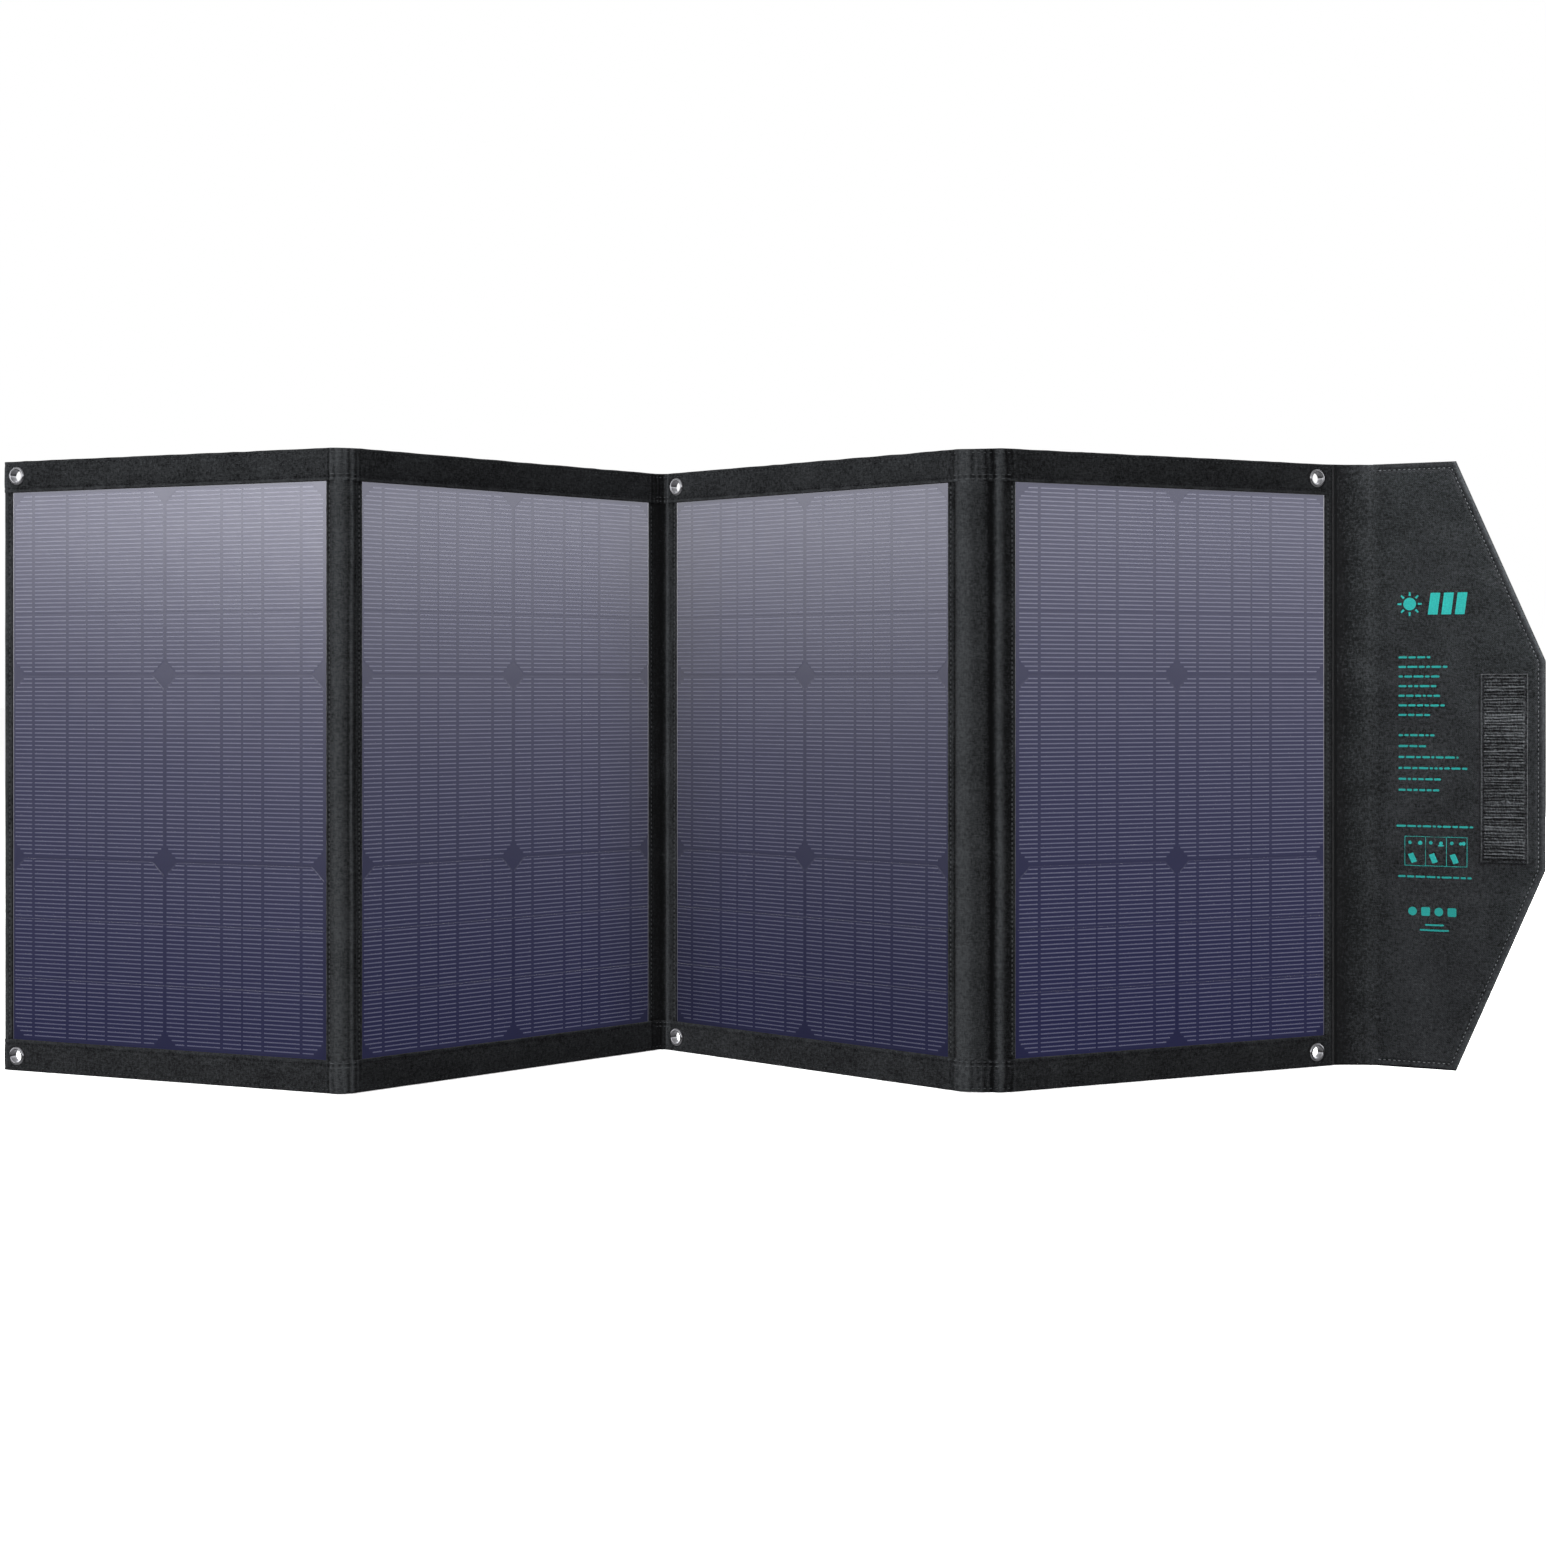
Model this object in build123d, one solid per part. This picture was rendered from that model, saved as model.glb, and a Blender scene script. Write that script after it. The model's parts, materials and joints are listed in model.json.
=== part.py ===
from build123d import *
import math
import os

# Four-panel folding solar charger, standing in a zigzag on its lower hems, with a closing flap.
# Row frame: +X to the right along the row, +Y towards the backs of the panels, +Z up.
# Origin: middle of the bounding box in X and Y, at the lower hems.
# Every part is modelled in the frame of its panel, spine or flap: x along the row, y up,
# z out of the front. x = 0 is a panel's left edge, or the left fold axis of a spine or the flap.
# Millimetres and degrees. A name ending in _X, _Y or _Z with two values is a (low, high) span.


# ---------------------------------------------------------------- spans and basic solids
def span(middle, half):
    return (middle - half, middle + half)


def inset(limits, margin):
    """A span shortened by the margin at both ends; a negative margin lengthens it."""
    return (limits[0] + margin, limits[1] - margin)


def behind(near, far):
    """The z span between two depths behind a panel's back face."""
    return (BACK_Z - far, BACK_Z - near)


def block(x_span, y_span, z_span):
    spans = (x_span, y_span, z_span)
    middle = [(low + high) / 2 for low, high in spans]
    return Pos(*middle) * Box(*[high - low for low, high in spans])


def rounded(x_span, y_span, z_span, radius):
    return fillet(block(x_span, y_span, z_span).edges().filter_by(Axis.Z), radius)


def disc(x, y, z_span, radius):
    low, high = z_span
    return Pos(x, y, (low + high) / 2) * Cylinder(radius, high - low)


def x_rod(x_span, y, z, radius):
    low, high = x_span
    return Pos((low + high) / 2, y, z) * Rot(0, 90, 0) * Cylinder(radius, high - low)


def prism(outline, z_span):
    low, high = z_span
    face = make_face(Polyline(*[(x, y, low) for x, y in outline], close=True))
    return extrude(face, amount=high - low, dir=(0, 0, 1))


def rear_edges(solid):
    return solid.edges().group_by(Axis.Z)[0]


# ---------------------------------------------------------------- driving dimensions
H = 425.0            # height of every panel, spine and the flap
PANEL_W = 268.0
BORDER = 7.0         # fabric border left and right of the window
BAND = 22.0          # hem band above and below the window
PANEL_X = (0, PANEL_W)
FULL_Y = (0, H)
WINDOW_X = inset(PANEL_X, BORDER)
WINDOW_Y = inset(FULL_Y, BAND)

BACK_Z = -2.0        # outer face of the back cover
FRONT_Z = 2.0        # outer face of the front frame
HEM_Z = 2.4          # outer face of the hem bands
LIP_Z = 1.15         # front edge of the back cover's side walls
SKIN = 0.8           # fabric thickness
THROUGH_Z = (-10, 10)    # cuts through a whole panel

# ---------------------------------------------------------------- the zigzag row
ROW_START = (-533.099, 4.442)        # left edge of panel 1
ANGLES = {"panel_1": -21.8, "panel_2": 44.5, "panel_3": -42.0, "panel_4": 25.0, "flap": -26.0}
SPINES = {"spine_1": 7.4, "spine_2": 7.2, "spine_3": 29.0, "flap_spine": 25.5}  # axis to axis
AXIS_OFFSET = 1.7    # panel edge to fold axis


def step(point, distance, angle):
    turn = math.radians(angle)
    return (point[0] + distance * math.cos(turn), point[1] + distance * math.sin(turn))


def upright_plane(point, angle):
    turn = math.radians(angle)
    return Plane(
        origin=(*point, 0),
        x_dir=(math.cos(turn), math.sin(turn), 0),
        z_dir=(math.sin(turn), -math.cos(turn), 0),
    )


def row_planes():
    """Frames of the panels, spines and flap; a spine's angle is the mean of its neighbours'."""
    planes = {}
    bodies = list(ANGLES)
    edge = ROW_START
    for left, spine, right in zip(bodies, SPINES, bodies[1:]):
        planes[left] = upright_plane(edge, ANGLES[left])
        spine_angle = (ANGLES[left] + ANGLES[right]) / 2
        axis = step(edge, PANEL_W + AXIS_OFFSET, ANGLES[left])
        planes[spine] = upright_plane(axis, spine_angle)
        axis = step(axis, SPINES[spine], spine_angle)
        edge = step(axis, AXIS_OFFSET, ANGLES[right])
    planes["flap"] = upright_plane(axis, ANGLES["flap"])
    return planes


PLANES = row_planes()
PARTS = {}


def add(name, body, *shapes):
    """Places shapes from a body's frame into the row and files their solids under a name."""
    solids = []
    for shape in shapes:
        solids += (PLANES[body].location * shape).solids()
    PARTS[name] = Compound(children=solids) if len(solids) > 1 else solids[0]


# ---------------------------------------------------------------- solar cells
CELL = 125.0         # pseudo-square cell
CELL_CUT = 9.0       # corner chamfer leg
CELL_GAP = 1.5
CELL_PITCH = CELL + CELL_GAP
CELL_Z = (0.25, 0.45)
COLUMNS, ROWS = 2, 3
CELLS_LEFT = (PANEL_W - COLUMNS * CELL - (COLUMNS - 1) * CELL_GAP) / 2
CELLS_BOTTOM = (H - ROWS * CELL - (ROWS - 1) * CELL_GAP) / 2

# Scribe lines cut a cell into strips; places are fractions of the cell.
SCRIBE = 0.45
UPRIGHT_SCRIBE = 0.49
LEVEL_SCRIBES = ((1 / 3, 2 / 3), (), (1 / 3,))   # per row, from the bottom
SCRIBE_Z = (0, 1)

RIBBON_W = 1.2
RIBBON_PLACES = (0.13, 0.36, 0.62, 0.86)         # fractions across a cell
RIBBON_OVERRUN = 2                               # past the window, above and below
RIBBON_Z = (0.50, 0.58)


def solar_cell(left, bottom, level_scribes):
    right, top = left + CELL, bottom + CELL
    outline = [
        (left + CELL_CUT, bottom), (right - CELL_CUT, bottom),
        (right, bottom + CELL_CUT), (right, top - CELL_CUT),
        (right - CELL_CUT, top), (left + CELL_CUT, top),
        (left, top - CELL_CUT), (left, bottom + CELL_CUT),
    ]
    cell = prism(outline, CELL_Z)
    scribe_x = span(left + UPRIGHT_SCRIBE * CELL, SCRIBE / 2)
    cell -= block(scribe_x, (bottom - 1, top + 1), SCRIBE_Z)
    for place in level_scribes:
        scribe_y = span(bottom + place * CELL, SCRIBE / 2)
        cell -= block((left - 1, right + 1), scribe_y, SCRIBE_Z)
    return cell


def solar_cells():
    return [
        solar_cell(CELLS_LEFT + column * CELL_PITCH, CELLS_BOTTOM + row * CELL_PITCH, scribes)
        for row, scribes in enumerate(LEVEL_SCRIBES)
        for column in range(COLUMNS)
    ]


def cell_ribbons():
    ribbon_y = inset(WINDOW_Y, -RIBBON_OVERRUN)
    return [
        block(span(CELLS_LEFT + column * CELL_PITCH + place * CELL, RIBBON_W / 2), ribbon_y, RIBBON_Z)
        for column in range(COLUMNS)
        for place in RIBBON_PLACES
    ]


# ---------------------------------------------------------------- eyelets
EYE_HOLE_R = 4.0
EYE_BARREL_R = 4.6
EYE_FLANGE_R = 6.2
EYE_METAL = 0.6      # flange and washer thickness
EYE_EDGE = 10.5      # centre to the nearest hem edge
EYE_X = {1: 11.0, 3: 9.6, 4: PANEL_W - 16.5}     # by panel number
FABRIC_PLAY = 0.08   # around the barrel
WASHER_PLAY = 0.04


def eyelet(x, y):
    """A flanged barrel from the front and a washer on the back."""
    rear, front = BACK_Z - EYE_METAL, HEM_Z + EYE_METAL
    barrel = disc(x, y, (rear, front), EYE_BARREL_R)
    flange = disc(x, y, (HEM_Z, front), EYE_FLANGE_R)
    flange = fillet(flange.edges().group_by(Axis.Z)[-1], 0.5)
    washer = disc(x, y, (rear, BACK_Z), EYE_FLANGE_R)
    washer = chamfer(rear_edges(washer), 0.3)
    return [
        barrel + flange - disc(x, y, THROUGH_Z, EYE_HOLE_R),
        washer - disc(x, y, THROUGH_Z, EYE_BARREL_R + WASHER_PLAY),
    ]


# ---------------------------------------------------------------- charge controller layout
# Mounted on the back of panel 4, with its ports in the lower wall.
CTRL_MID = 134.0     # x of its middle
CTRL_X = span(CTRL_MID, 59.0)
CTRL_Y = (268.0, 334.0)
CTRL_DEPTH = 17.0
CTRL_R = 7           # corner radius


def ctrl_y(low, high):
    """The y span between two heights above the controller's lower wall."""
    return (CTRL_Y[0] + low, CTRL_Y[0] + high)


LEAD_Y = CTRL_Y[0] + 43


def lead_slot():
    """Opening for the leads through the back cover and the controller base."""
    return block(span(CTRL_MID, 6), span(LEAD_Y, 3), behind(-1, 3))


# ---------------------------------------------------------------- panels
BOARD_Z = (-1.15, 0.15)
BOARD_SIDE, BOARD_END = 3, 18        # board's distance from the side and hem edges
FILM_OVERLAP = 3.5                   # film reaches past the window all round
FILM_Z = (0.65, 1.15)


def back_cover():
    tray = block(PANEL_X, FULL_Y, (BACK_Z, LIP_Z))
    return tray - block(inset(PANEL_X, SKIN), inset(FULL_Y, SKIN), (BACK_Z + SKIN, LIP_Z + 1))


def front_frame():
    sheet = block(PANEL_X, FULL_Y, (FRONT_Z - SKIN, FRONT_Z))
    return sheet - block(WINDOW_X, WINDOW_Y, (0, 5))


def build_panel(number, cells, ribbons):
    body = f"panel_{number}"
    eyes = [(EYE_X[number], y) for y in inset(FULL_Y, EYE_EDGE)] if number in EYE_X else []
    back = back_cover()
    frame = front_frame()
    bands = [block(PANEL_X, y_span, (FRONT_Z, HEM_Z)) for y_span in ((0, BAND), (H - BAND, H))]
    for x, y in eyes:
        hole = disc(x, y, THROUGH_Z, EYE_BARREL_R + FABRIC_PLAY)
        back -= hole
        frame -= hole
        bands = [band - hole for band in bands]
    if number == 4:
        back -= lead_slot()
    board = block(inset(PANEL_X, BOARD_SIDE), inset(FULL_Y, BOARD_END), BOARD_Z)
    film = block(inset(WINDOW_X, -FILM_OVERLAP), inset(WINDOW_Y, -FILM_OVERLAP), FILM_Z)

    add(f"back_cover_{number}", body, back)
    add(f"front_frame_{number}", body, frame)
    add(f"hem_bands_{number}", body, *bands)
    add(f"stiffener_board_{number}", body, board)
    add(f"solar_cells_{number}", body, *cells)
    add(f"cell_ribbons_{number}", body, *ribbons)
    add(f"clear_film_{number}", body, film)
    if eyes:
        add(f"eyelets_{number}", body, *[piece for x, y in eyes for piece in eyelet(x, y)])


# ---------------------------------------------------------------- spines
SPINE_END = 0.5      # fold axis to the end of a sleeve
SPINE_T = 2.4
SLOT_T = 1.0         # slot through the sleeve from side to side
SLOT_END = 8         # slot to the sleeve's top and bottom
WIRE_YS = (40.0, 46.0)
WIRE_R = 0.42
WIRE_SHORT = 0.2     # wire end to sleeve end


def build_spine(name):
    sleeve_x = inset((0, SPINES[name]), SPINE_END)
    sleeve = block(sleeve_x, FULL_Y, span(0, SPINE_T / 2))
    sleeve -= block(inset(sleeve_x, -1), inset(FULL_Y, SLOT_END), span(0, SLOT_T / 2))
    add(f"{name}_sleeve", name, sleeve)
    if name != "flap_spine":
        wires = [x_rod(inset(sleeve_x, WIRE_SHORT), y, 0, WIRE_R) for y in WIRE_YS]
        add(f"link_wires_{name[-1]}", name, *wires)


# ---------------------------------------------------------------- closing flap
FLAP_LEFT = 1.5      # inner edge; this and the two below are measured from the fold axis
FLAP_SHORT = 58.1    # right end of the straight top and bottom edges
FLAP_RIGHT = 118.1   # outer edge
FLAP_LOW = 141.7     # lower and upper ends of the outer edge
FLAP_HIGH = 285.4
FLAP_FACE = 1.5      # half the flap's thickness
FLAP_BOARD_MARGIN = 4

STRIP_X = (75.0, 106.5)      # hook and loop strips
STRIP_Y = (146.0, 276.5)
STRIP_R = 1.5


def flap_outline(margin):
    """The flap's six corners, with every edge moved inwards by the margin."""
    run = FLAP_RIGHT - FLAP_SHORT

    def slant(rise):
        """A slanted edge's run per rise, and its sideways move."""
        return run / rise, margin * math.hypot(run, rise) / rise

    low_slope, low_shift = slant(FLAP_LOW)
    high_slope, high_shift = slant(H - FLAP_HIGH)
    return [
        (FLAP_LEFT + margin, margin),
        (FLAP_SHORT + low_slope * margin - low_shift, margin),
        (FLAP_RIGHT - margin, FLAP_LOW + (low_shift - margin) / low_slope),
        (FLAP_RIGHT - margin, FLAP_HIGH - (high_shift - margin) / high_slope),
        (FLAP_SHORT + high_slope * margin - high_shift, H - margin),
        (FLAP_LEFT + margin, H - margin),
    ]


def build_flap():
    back = prism(flap_outline(0), (-FLAP_FACE, 0.75))
    back -= prism(flap_outline(SKIN), (-FLAP_FACE + SKIN, 2))
    add("flap_back", "flap", back)
    add("flap_front", "flap", prism(flap_outline(0), (0.8, FLAP_FACE)))
    add("flap_board", "flap", prism(flap_outline(FLAP_BOARD_MARGIN), span(0, 0.65)))
    hook_z = (FLAP_FACE, FLAP_FACE + 1.5)
    add("hook_strip", "flap", rounded(STRIP_X, STRIP_Y, hook_z, STRIP_R))
    add("loop_strip", "panel_3", rounded(STRIP_X, STRIP_Y, behind(0, 1.4), STRIP_R))


# ---------------------------------------------------------------- charge controller
LID_WALL = 1.8
SCREWS = [(x, y) for y in (CTRL_Y[0] + 22, CTRL_Y[1] - 8) for x in inset(CTRL_X, 8)]
SCREW_SEAT = CTRL_DEPTH - 2.0        # depth of the face under the screw heads
LIGHT = (CTRL_MID, CTRL_Y[1] - 12)

PORT_Z = BACK_Z - 10.0               # centre line of all ports
USB_A_XS = (CTRL_MID - 36.0, CTRL_MID - 15.0)
USB_A_HALF_W, USB_A_HALF_T = 6.6, 2.9
USB_A_METAL = 0.45
USB_A_PLAY = 0.3                     # around the shell in the lid
USB_C_X = CTRL_MID + 6.0
USB_C_W, USB_C_T = 8.94, 3.16
USB_C_METAL = 0.3
JACK_X = CTRL_MID + 30.0
PORT_START = 0.4                     # port mouths, above the outside of the lower wall


def port_rod(x, y_span, radius):
    """An upright cylinder on the ports' centre line."""
    low, high = y_span
    return Pos(x, (low + high) / 2, PORT_Z) * Rot(90, 0, 0) * Cylinder(radius, high - low)


def controller_base():
    base = rounded(CTRL_X, CTRL_Y, behind(0, 2.0), CTRL_R)
    base -= lead_slot()
    for x, y in SCREWS:
        base -= disc(x, y, behind(0.8, 3), 1.28)
    return base


def controller_lid():
    outside = rounded(CTRL_X, CTRL_Y, behind(2.05, CTRL_DEPTH), CTRL_R)
    outside = fillet(rear_edges(outside), 3.0)
    inside_z = behind(-1, CTRL_DEPTH - LID_WALL)
    lid = outside - rounded(
        inset(CTRL_X, LID_WALL), inset(CTRL_Y, LID_WALL), inside_z, CTRL_R - LID_WALL
    )
    wall_y = ctrl_y(-1, 3)
    beyond = CTRL_DEPTH + 1
    for x in USB_A_XS:
        opening_z = span(PORT_Z, USB_A_HALF_T + USB_A_PLAY)
        lid -= block(span(x, USB_A_HALF_W + USB_A_PLAY), wall_y, opening_z)
    lid -= block(span(USB_C_X, 4.8), wall_y, span(PORT_Z, 1.9))
    lid -= port_rod(JACK_X, wall_y, 4.7)
    for x, y in SCREWS:      # pillar, clearance hole, head recess
        lid += disc(x, y, behind(2.1, CTRL_DEPTH - 1.6), 3.4)
        lid -= disc(x, y, behind(0, beyond), 1.32)
        lid -= disc(x, y, behind(SCREW_SEAT, beyond), 2.7)
    lid -= disc(*LIGHT, behind(CTRL_DEPTH - 3, beyond), 1.75)
    return lid


def controller_screw(x, y):
    screw = disc(x, y, behind(1.0, SCREW_SEAT), 1.2)
    screw += disc(x, y, behind(SCREW_SEAT, CTRL_DEPTH - 0.6), 2.55)
    for half_x, half_y in ((1.5, 0.3), (0.3, 1.5)):      # cross recess
        recess_z = behind(CTRL_DEPTH - 1.3, CTRL_DEPTH)
        screw -= block(span(x, half_x), span(y, half_y), recess_z)
    return screw


def controller_board():
    board = rounded(inset(CTRL_X, 3), inset(CTRL_Y, 3), behind(4.0, 5.4), 4)
    for x, y in SCREWS:      # clear of the lid's pillars
        board -= disc(x, y, behind(0, 10), 3.8)
    return board


def usb_a_port(x):
    inner_x = span(x, USB_A_HALF_W - USB_A_METAL)
    inner_z = span(PORT_Z, USB_A_HALF_T - USB_A_METAL)
    shell = block(span(x, USB_A_HALF_W), ctrl_y(PORT_START, 14.4), span(PORT_Z, USB_A_HALF_T))
    shell -= block(inner_x, ctrl_y(-1, 12.4), inner_z)
    tongue = block(span(x, 5.6), ctrl_y(2.4, 12.6), (PORT_Z + 0.2, PORT_Z + 2.0))
    return shell + tongue


def usb_c_port():
    half_length = 4.1
    floor = 0.5      # closed upper end of the shell

    def slot_bar(y, trim):
        profile = SlotOverall(USB_C_W - 2 * trim, USB_C_T - 2 * trim)
        return Pos(USB_C_X, y, PORT_Z) * Rot(90, 0, 0) * extrude(profile, half_length, both=True)

    middle_y = CTRL_Y[0] + PORT_START + half_length
    shell = slot_bar(middle_y, 0) - slot_bar(middle_y - floor, USB_C_METAL)
    return shell + block(span(USB_C_X, 3.3), ctrl_y(1.6, 8.2), span(PORT_Z, 0.35))


def dc_jack():
    """Body and collar, bored from below, with a centre pin."""
    jack = block(span(JACK_X, 5.5), ctrl_y(2.0, 14.0), behind(5.5, 15.0))
    jack += port_rod(JACK_X, ctrl_y(PORT_START, 3.0), 4.5)
    jack -= port_rod(JACK_X, ctrl_y(-1, 11.5), 2.8)
    jack += port_rod(JACK_X, ctrl_y(2.0, 12.5), 1.0)
    return jack


def port_cover():
    """Plate below the ports, with a hinge rod at the panel side and a tab at the outer side."""
    cover_x = inset(CTRL_X, 9)
    plate_y = ctrl_y(-2.4, -0.4)
    cover = block(cover_x, plate_y, behind(3.2, CTRL_DEPTH - 0.6))
    cover += x_rod(cover_x, CTRL_Y[0] - 1.4, BACK_Z - 2.6, 1.0)
    cover += block(span(CTRL_MID, 8), plate_y, behind(CTRL_DEPTH - 0.8, CTRL_DEPTH + 2.4))
    return cover


def build_controller():
    light = disc(*LIGHT, behind(CTRL_DEPTH - 4.5, CTRL_DEPTH - 0.1), 1.65)
    leads = [disc(x, LEAD_Y, behind(-0.8, 3.9), 0.9) for x in span(CTRL_MID, 3)]
    add("controller_base", "panel_4", controller_base())
    add("controller_lid", "panel_4", controller_lid())
    add("controller_screws", "panel_4", *[controller_screw(x, y) for x, y in SCREWS])
    add("status_light", "panel_4", light)
    add("controller_board", "panel_4", controller_board())
    add("output_lead", "panel_4", *leads)
    add("usb_ports", "panel_4", *[usb_a_port(x) for x in USB_A_XS])
    add("usb_c_port", "panel_4", usb_c_port())
    add("dc_jack", "panel_4", dc_jack())
    add("port_cover", "panel_4", port_cover())


# ---------------------------------------------------------------- zip pocket, back of panel 4
POCKET_X = (44.0, 224.0)
POCKET_Y = (36.0, 238.0)
POCKET_DEPTH = 14.0
POCKET_WALL = 1.2
POCKET_R = 12        # corner radius
POCKET_EDGE_R = 5.0  # around the outer face
ZIP_X = (56.0, 212.0)
ZIP_Y = 214.0
TOOTH_PITCH = 2.6
TOOTH_STAGGER = 0.35     # alternate teeth sit this far above and below the rail
SLIDER_X = 203.0
SLIDER_DEPTH = POCKET_DEPTH + 0.6    # panel side of the slider's plate

# Pull tab outline: x and y from the slider's middle.
PULL_OUTLINE = [
    (-2.6, 2.6), (-2.6, -8), (-4.2, -12), (-4.2, -30),
    (4.2, -30), (4.2, -12), (2.6, -8), (2.6, 2.6),
]


def pocket_block(margin, z_span):
    x_span, y_span = inset(POCKET_X, margin), inset(POCKET_Y, margin)
    body = rounded(x_span, y_span, z_span, POCKET_R - margin)
    return fillet(rear_edges(body), POCKET_EDGE_R - margin)


def pocket():
    shell = pocket_block(0, behind(0, POCKET_DEPTH))
    shell -= pocket_block(POCKET_WALL, behind(-1, POCKET_DEPTH - POCKET_WALL))
    opening_z = behind(POCKET_DEPTH - 2, POCKET_DEPTH + 1)
    return shell - block(inset(ZIP_X, -4), span(ZIP_Y, 5.5), opening_z)


def zipper_teeth():
    root = POCKET_DEPTH - 1.2
    teeth = block(ZIP_X, span(ZIP_Y, 1.5), behind(root, POCKET_DEPTH - 0.6))
    for i in range(int((ZIP_X[1] - ZIP_X[0]) / TOOTH_PITCH)):
        x = ZIP_X[0] + (i + 0.5) * TOOTH_PITCH
        y = ZIP_Y + (TOOTH_STAGGER if i % 2 else -TOOTH_STAGGER)
        teeth += block(span(x, 0.85), span(y, 2.2), behind(root, POCKET_DEPTH + 0.4))
    return teeth


def zip_slider():
    """Plate with a lower and an upper side wall, and a headed post for the pull."""
    plate_y = span(ZIP_Y, 4.2)
    post, head = SLIDER_DEPTH + 1.2, SLIDER_DEPTH + 2.8
    slider = rounded(span(SLIDER_X, 5.5), plate_y, behind(SLIDER_DEPTH, post), 2.2)
    for wall_y in ((plate_y[0], plate_y[0] + 1), (plate_y[1] - 1, plate_y[1])):
        slider += block(span(SLIDER_X, 4.5), wall_y, behind(POCKET_DEPTH - 0.9, SLIDER_DEPTH))
    slider += disc(SLIDER_X, ZIP_Y, behind(post, head), 1.2)
    slider += disc(SLIDER_X, ZIP_Y, behind(head, SLIDER_DEPTH + 3.4), 2.2)
    return slider


def zip_pull():
    outline = [(SLIDER_X + x, ZIP_Y + y) for x, y in PULL_OUTLINE]
    pull = prism(outline, behind(SLIDER_DEPTH + 1.4, SLIDER_DEPTH + 2.6))
    pull = fillet(pull.edges().filter_by(Axis.Z), 1.0)
    pull -= disc(SLIDER_X, ZIP_Y, behind(0, 40), 1.3)
    pull -= block(span(SLIDER_X, 2.0), (ZIP_Y - 27, ZIP_Y - 14), behind(0, 40))
    return pull


def build_pocket():
    tape_z = behind(POCKET_DEPTH - 2.0, POCKET_DEPTH - 1.25)
    add("pocket", "panel_4", pocket())
    add("zipper_tape", "panel_4", block(inset(ZIP_X, -6), span(ZIP_Y, 11), tape_z))
    add("zipper_teeth", "panel_4", zipper_teeth())
    add("zip_slider", "panel_4", zip_slider())
    add("zip_pull", "panel_4", zip_pull())


# ---------------------------------------------------------------- build and write
cells, ribbons = solar_cells(), cell_ribbons()
for number in (1, 2, 3, 4):
    build_panel(number, cells, ribbons)
for spine in SPINES:
    build_spine(spine)
build_flap()
build_controller()
build_pocket()

os.makedirs("parts", exist_ok=True)
for name, shape in PARTS.items():
    export_step(shape, f"parts/{name}.step")
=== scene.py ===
"""Folding solar charger: four cloth panels in a zigzag row, with a closing flap at the end.

The row runs along +X, stands on z = 0 and shows its cells to -Y. Pieces are drawn in chain
coordinates, in millimetres: "along" is the distance along the folded row from the free edge of
panel 1, z is the height, and "out" is the distance from the middle plane of the cloth, positive
to the front. place() turns them into metres in the world.
"""
import json
import math

import bmesh
import bpy
import numpy as np
from mathutils import Matrix, Vector


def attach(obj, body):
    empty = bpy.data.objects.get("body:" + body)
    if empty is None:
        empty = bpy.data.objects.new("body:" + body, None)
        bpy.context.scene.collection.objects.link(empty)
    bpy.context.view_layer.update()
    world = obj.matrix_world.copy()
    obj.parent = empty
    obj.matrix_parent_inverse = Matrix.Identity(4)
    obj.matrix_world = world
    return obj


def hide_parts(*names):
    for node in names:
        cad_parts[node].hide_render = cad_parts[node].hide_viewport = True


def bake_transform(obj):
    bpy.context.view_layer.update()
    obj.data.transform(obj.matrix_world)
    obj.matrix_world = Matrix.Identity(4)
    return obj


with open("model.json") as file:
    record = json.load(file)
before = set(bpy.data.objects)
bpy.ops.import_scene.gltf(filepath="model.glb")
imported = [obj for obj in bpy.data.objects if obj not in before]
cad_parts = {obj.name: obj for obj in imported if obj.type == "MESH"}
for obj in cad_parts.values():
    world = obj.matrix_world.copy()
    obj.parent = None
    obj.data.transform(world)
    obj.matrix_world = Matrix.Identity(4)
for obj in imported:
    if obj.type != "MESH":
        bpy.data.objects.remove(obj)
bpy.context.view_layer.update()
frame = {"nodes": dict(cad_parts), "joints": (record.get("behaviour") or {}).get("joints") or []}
NODES = frame["nodes"]
JOINTS = {joint["name"]: joint for joint in frame["joints"]}
MM = 0.001

# ---------------------------------------------------------------- driving sizes, in millimetres
H = 425.0                   # height of the cloth
PANEL_WIDTH = 268.0
BORDER = 7.0                # cloth beside a window
BAND = 22.0                 # folded band along the top and bottom
FOLD_GAP = 1.7              # from a panel's edge to its fold corner
FOLD_LAP = 3.0              # a panel's rigid cloth stops this far inside its folded edge
STITCH = 3.2                # stitch pitch
HEM_SEAM = 3.0              # stitch lines, measured from the top or bottom edge
BAND_SEAM = BAND - 3.0
BACK_SEAM = 10.3
WINDOW_SEAM = 2.2           # stitch line beside a window
UV_PER_MM = 0.01
BACK_UV_SHIFT = 3000        # keeps the back cloth's texture apart from the front's
POCKET_UV_SHIFT = 5000

FLAP_END_WIDTH = 58.1       # flap width at its top and bottom
FLAP_WIDTH = 118.1          # flap width in the middle, between these two heights
FLAP_LOW, FLAP_HIGH = 141.7, 285.4
FLAP_TOP = H - FLAP_HIGH
FLAP_TAPER = FLAP_WIDTH - FLAP_END_WIDTH


# ---------------------------------------------------------------- the chain of folds
def unit(vector):
    return vector / np.linalg.norm(vector)


def heading(vector):
    return math.atan2(vector[1], vector[0])


def mirrored_heading(near, far):
    """Direction that meets `near` at the same angle as `far` does, from its other end."""
    angle = 2 * heading(near) - heading(far)
    return np.array([math.cos(angle), math.sin(angle)])


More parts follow.
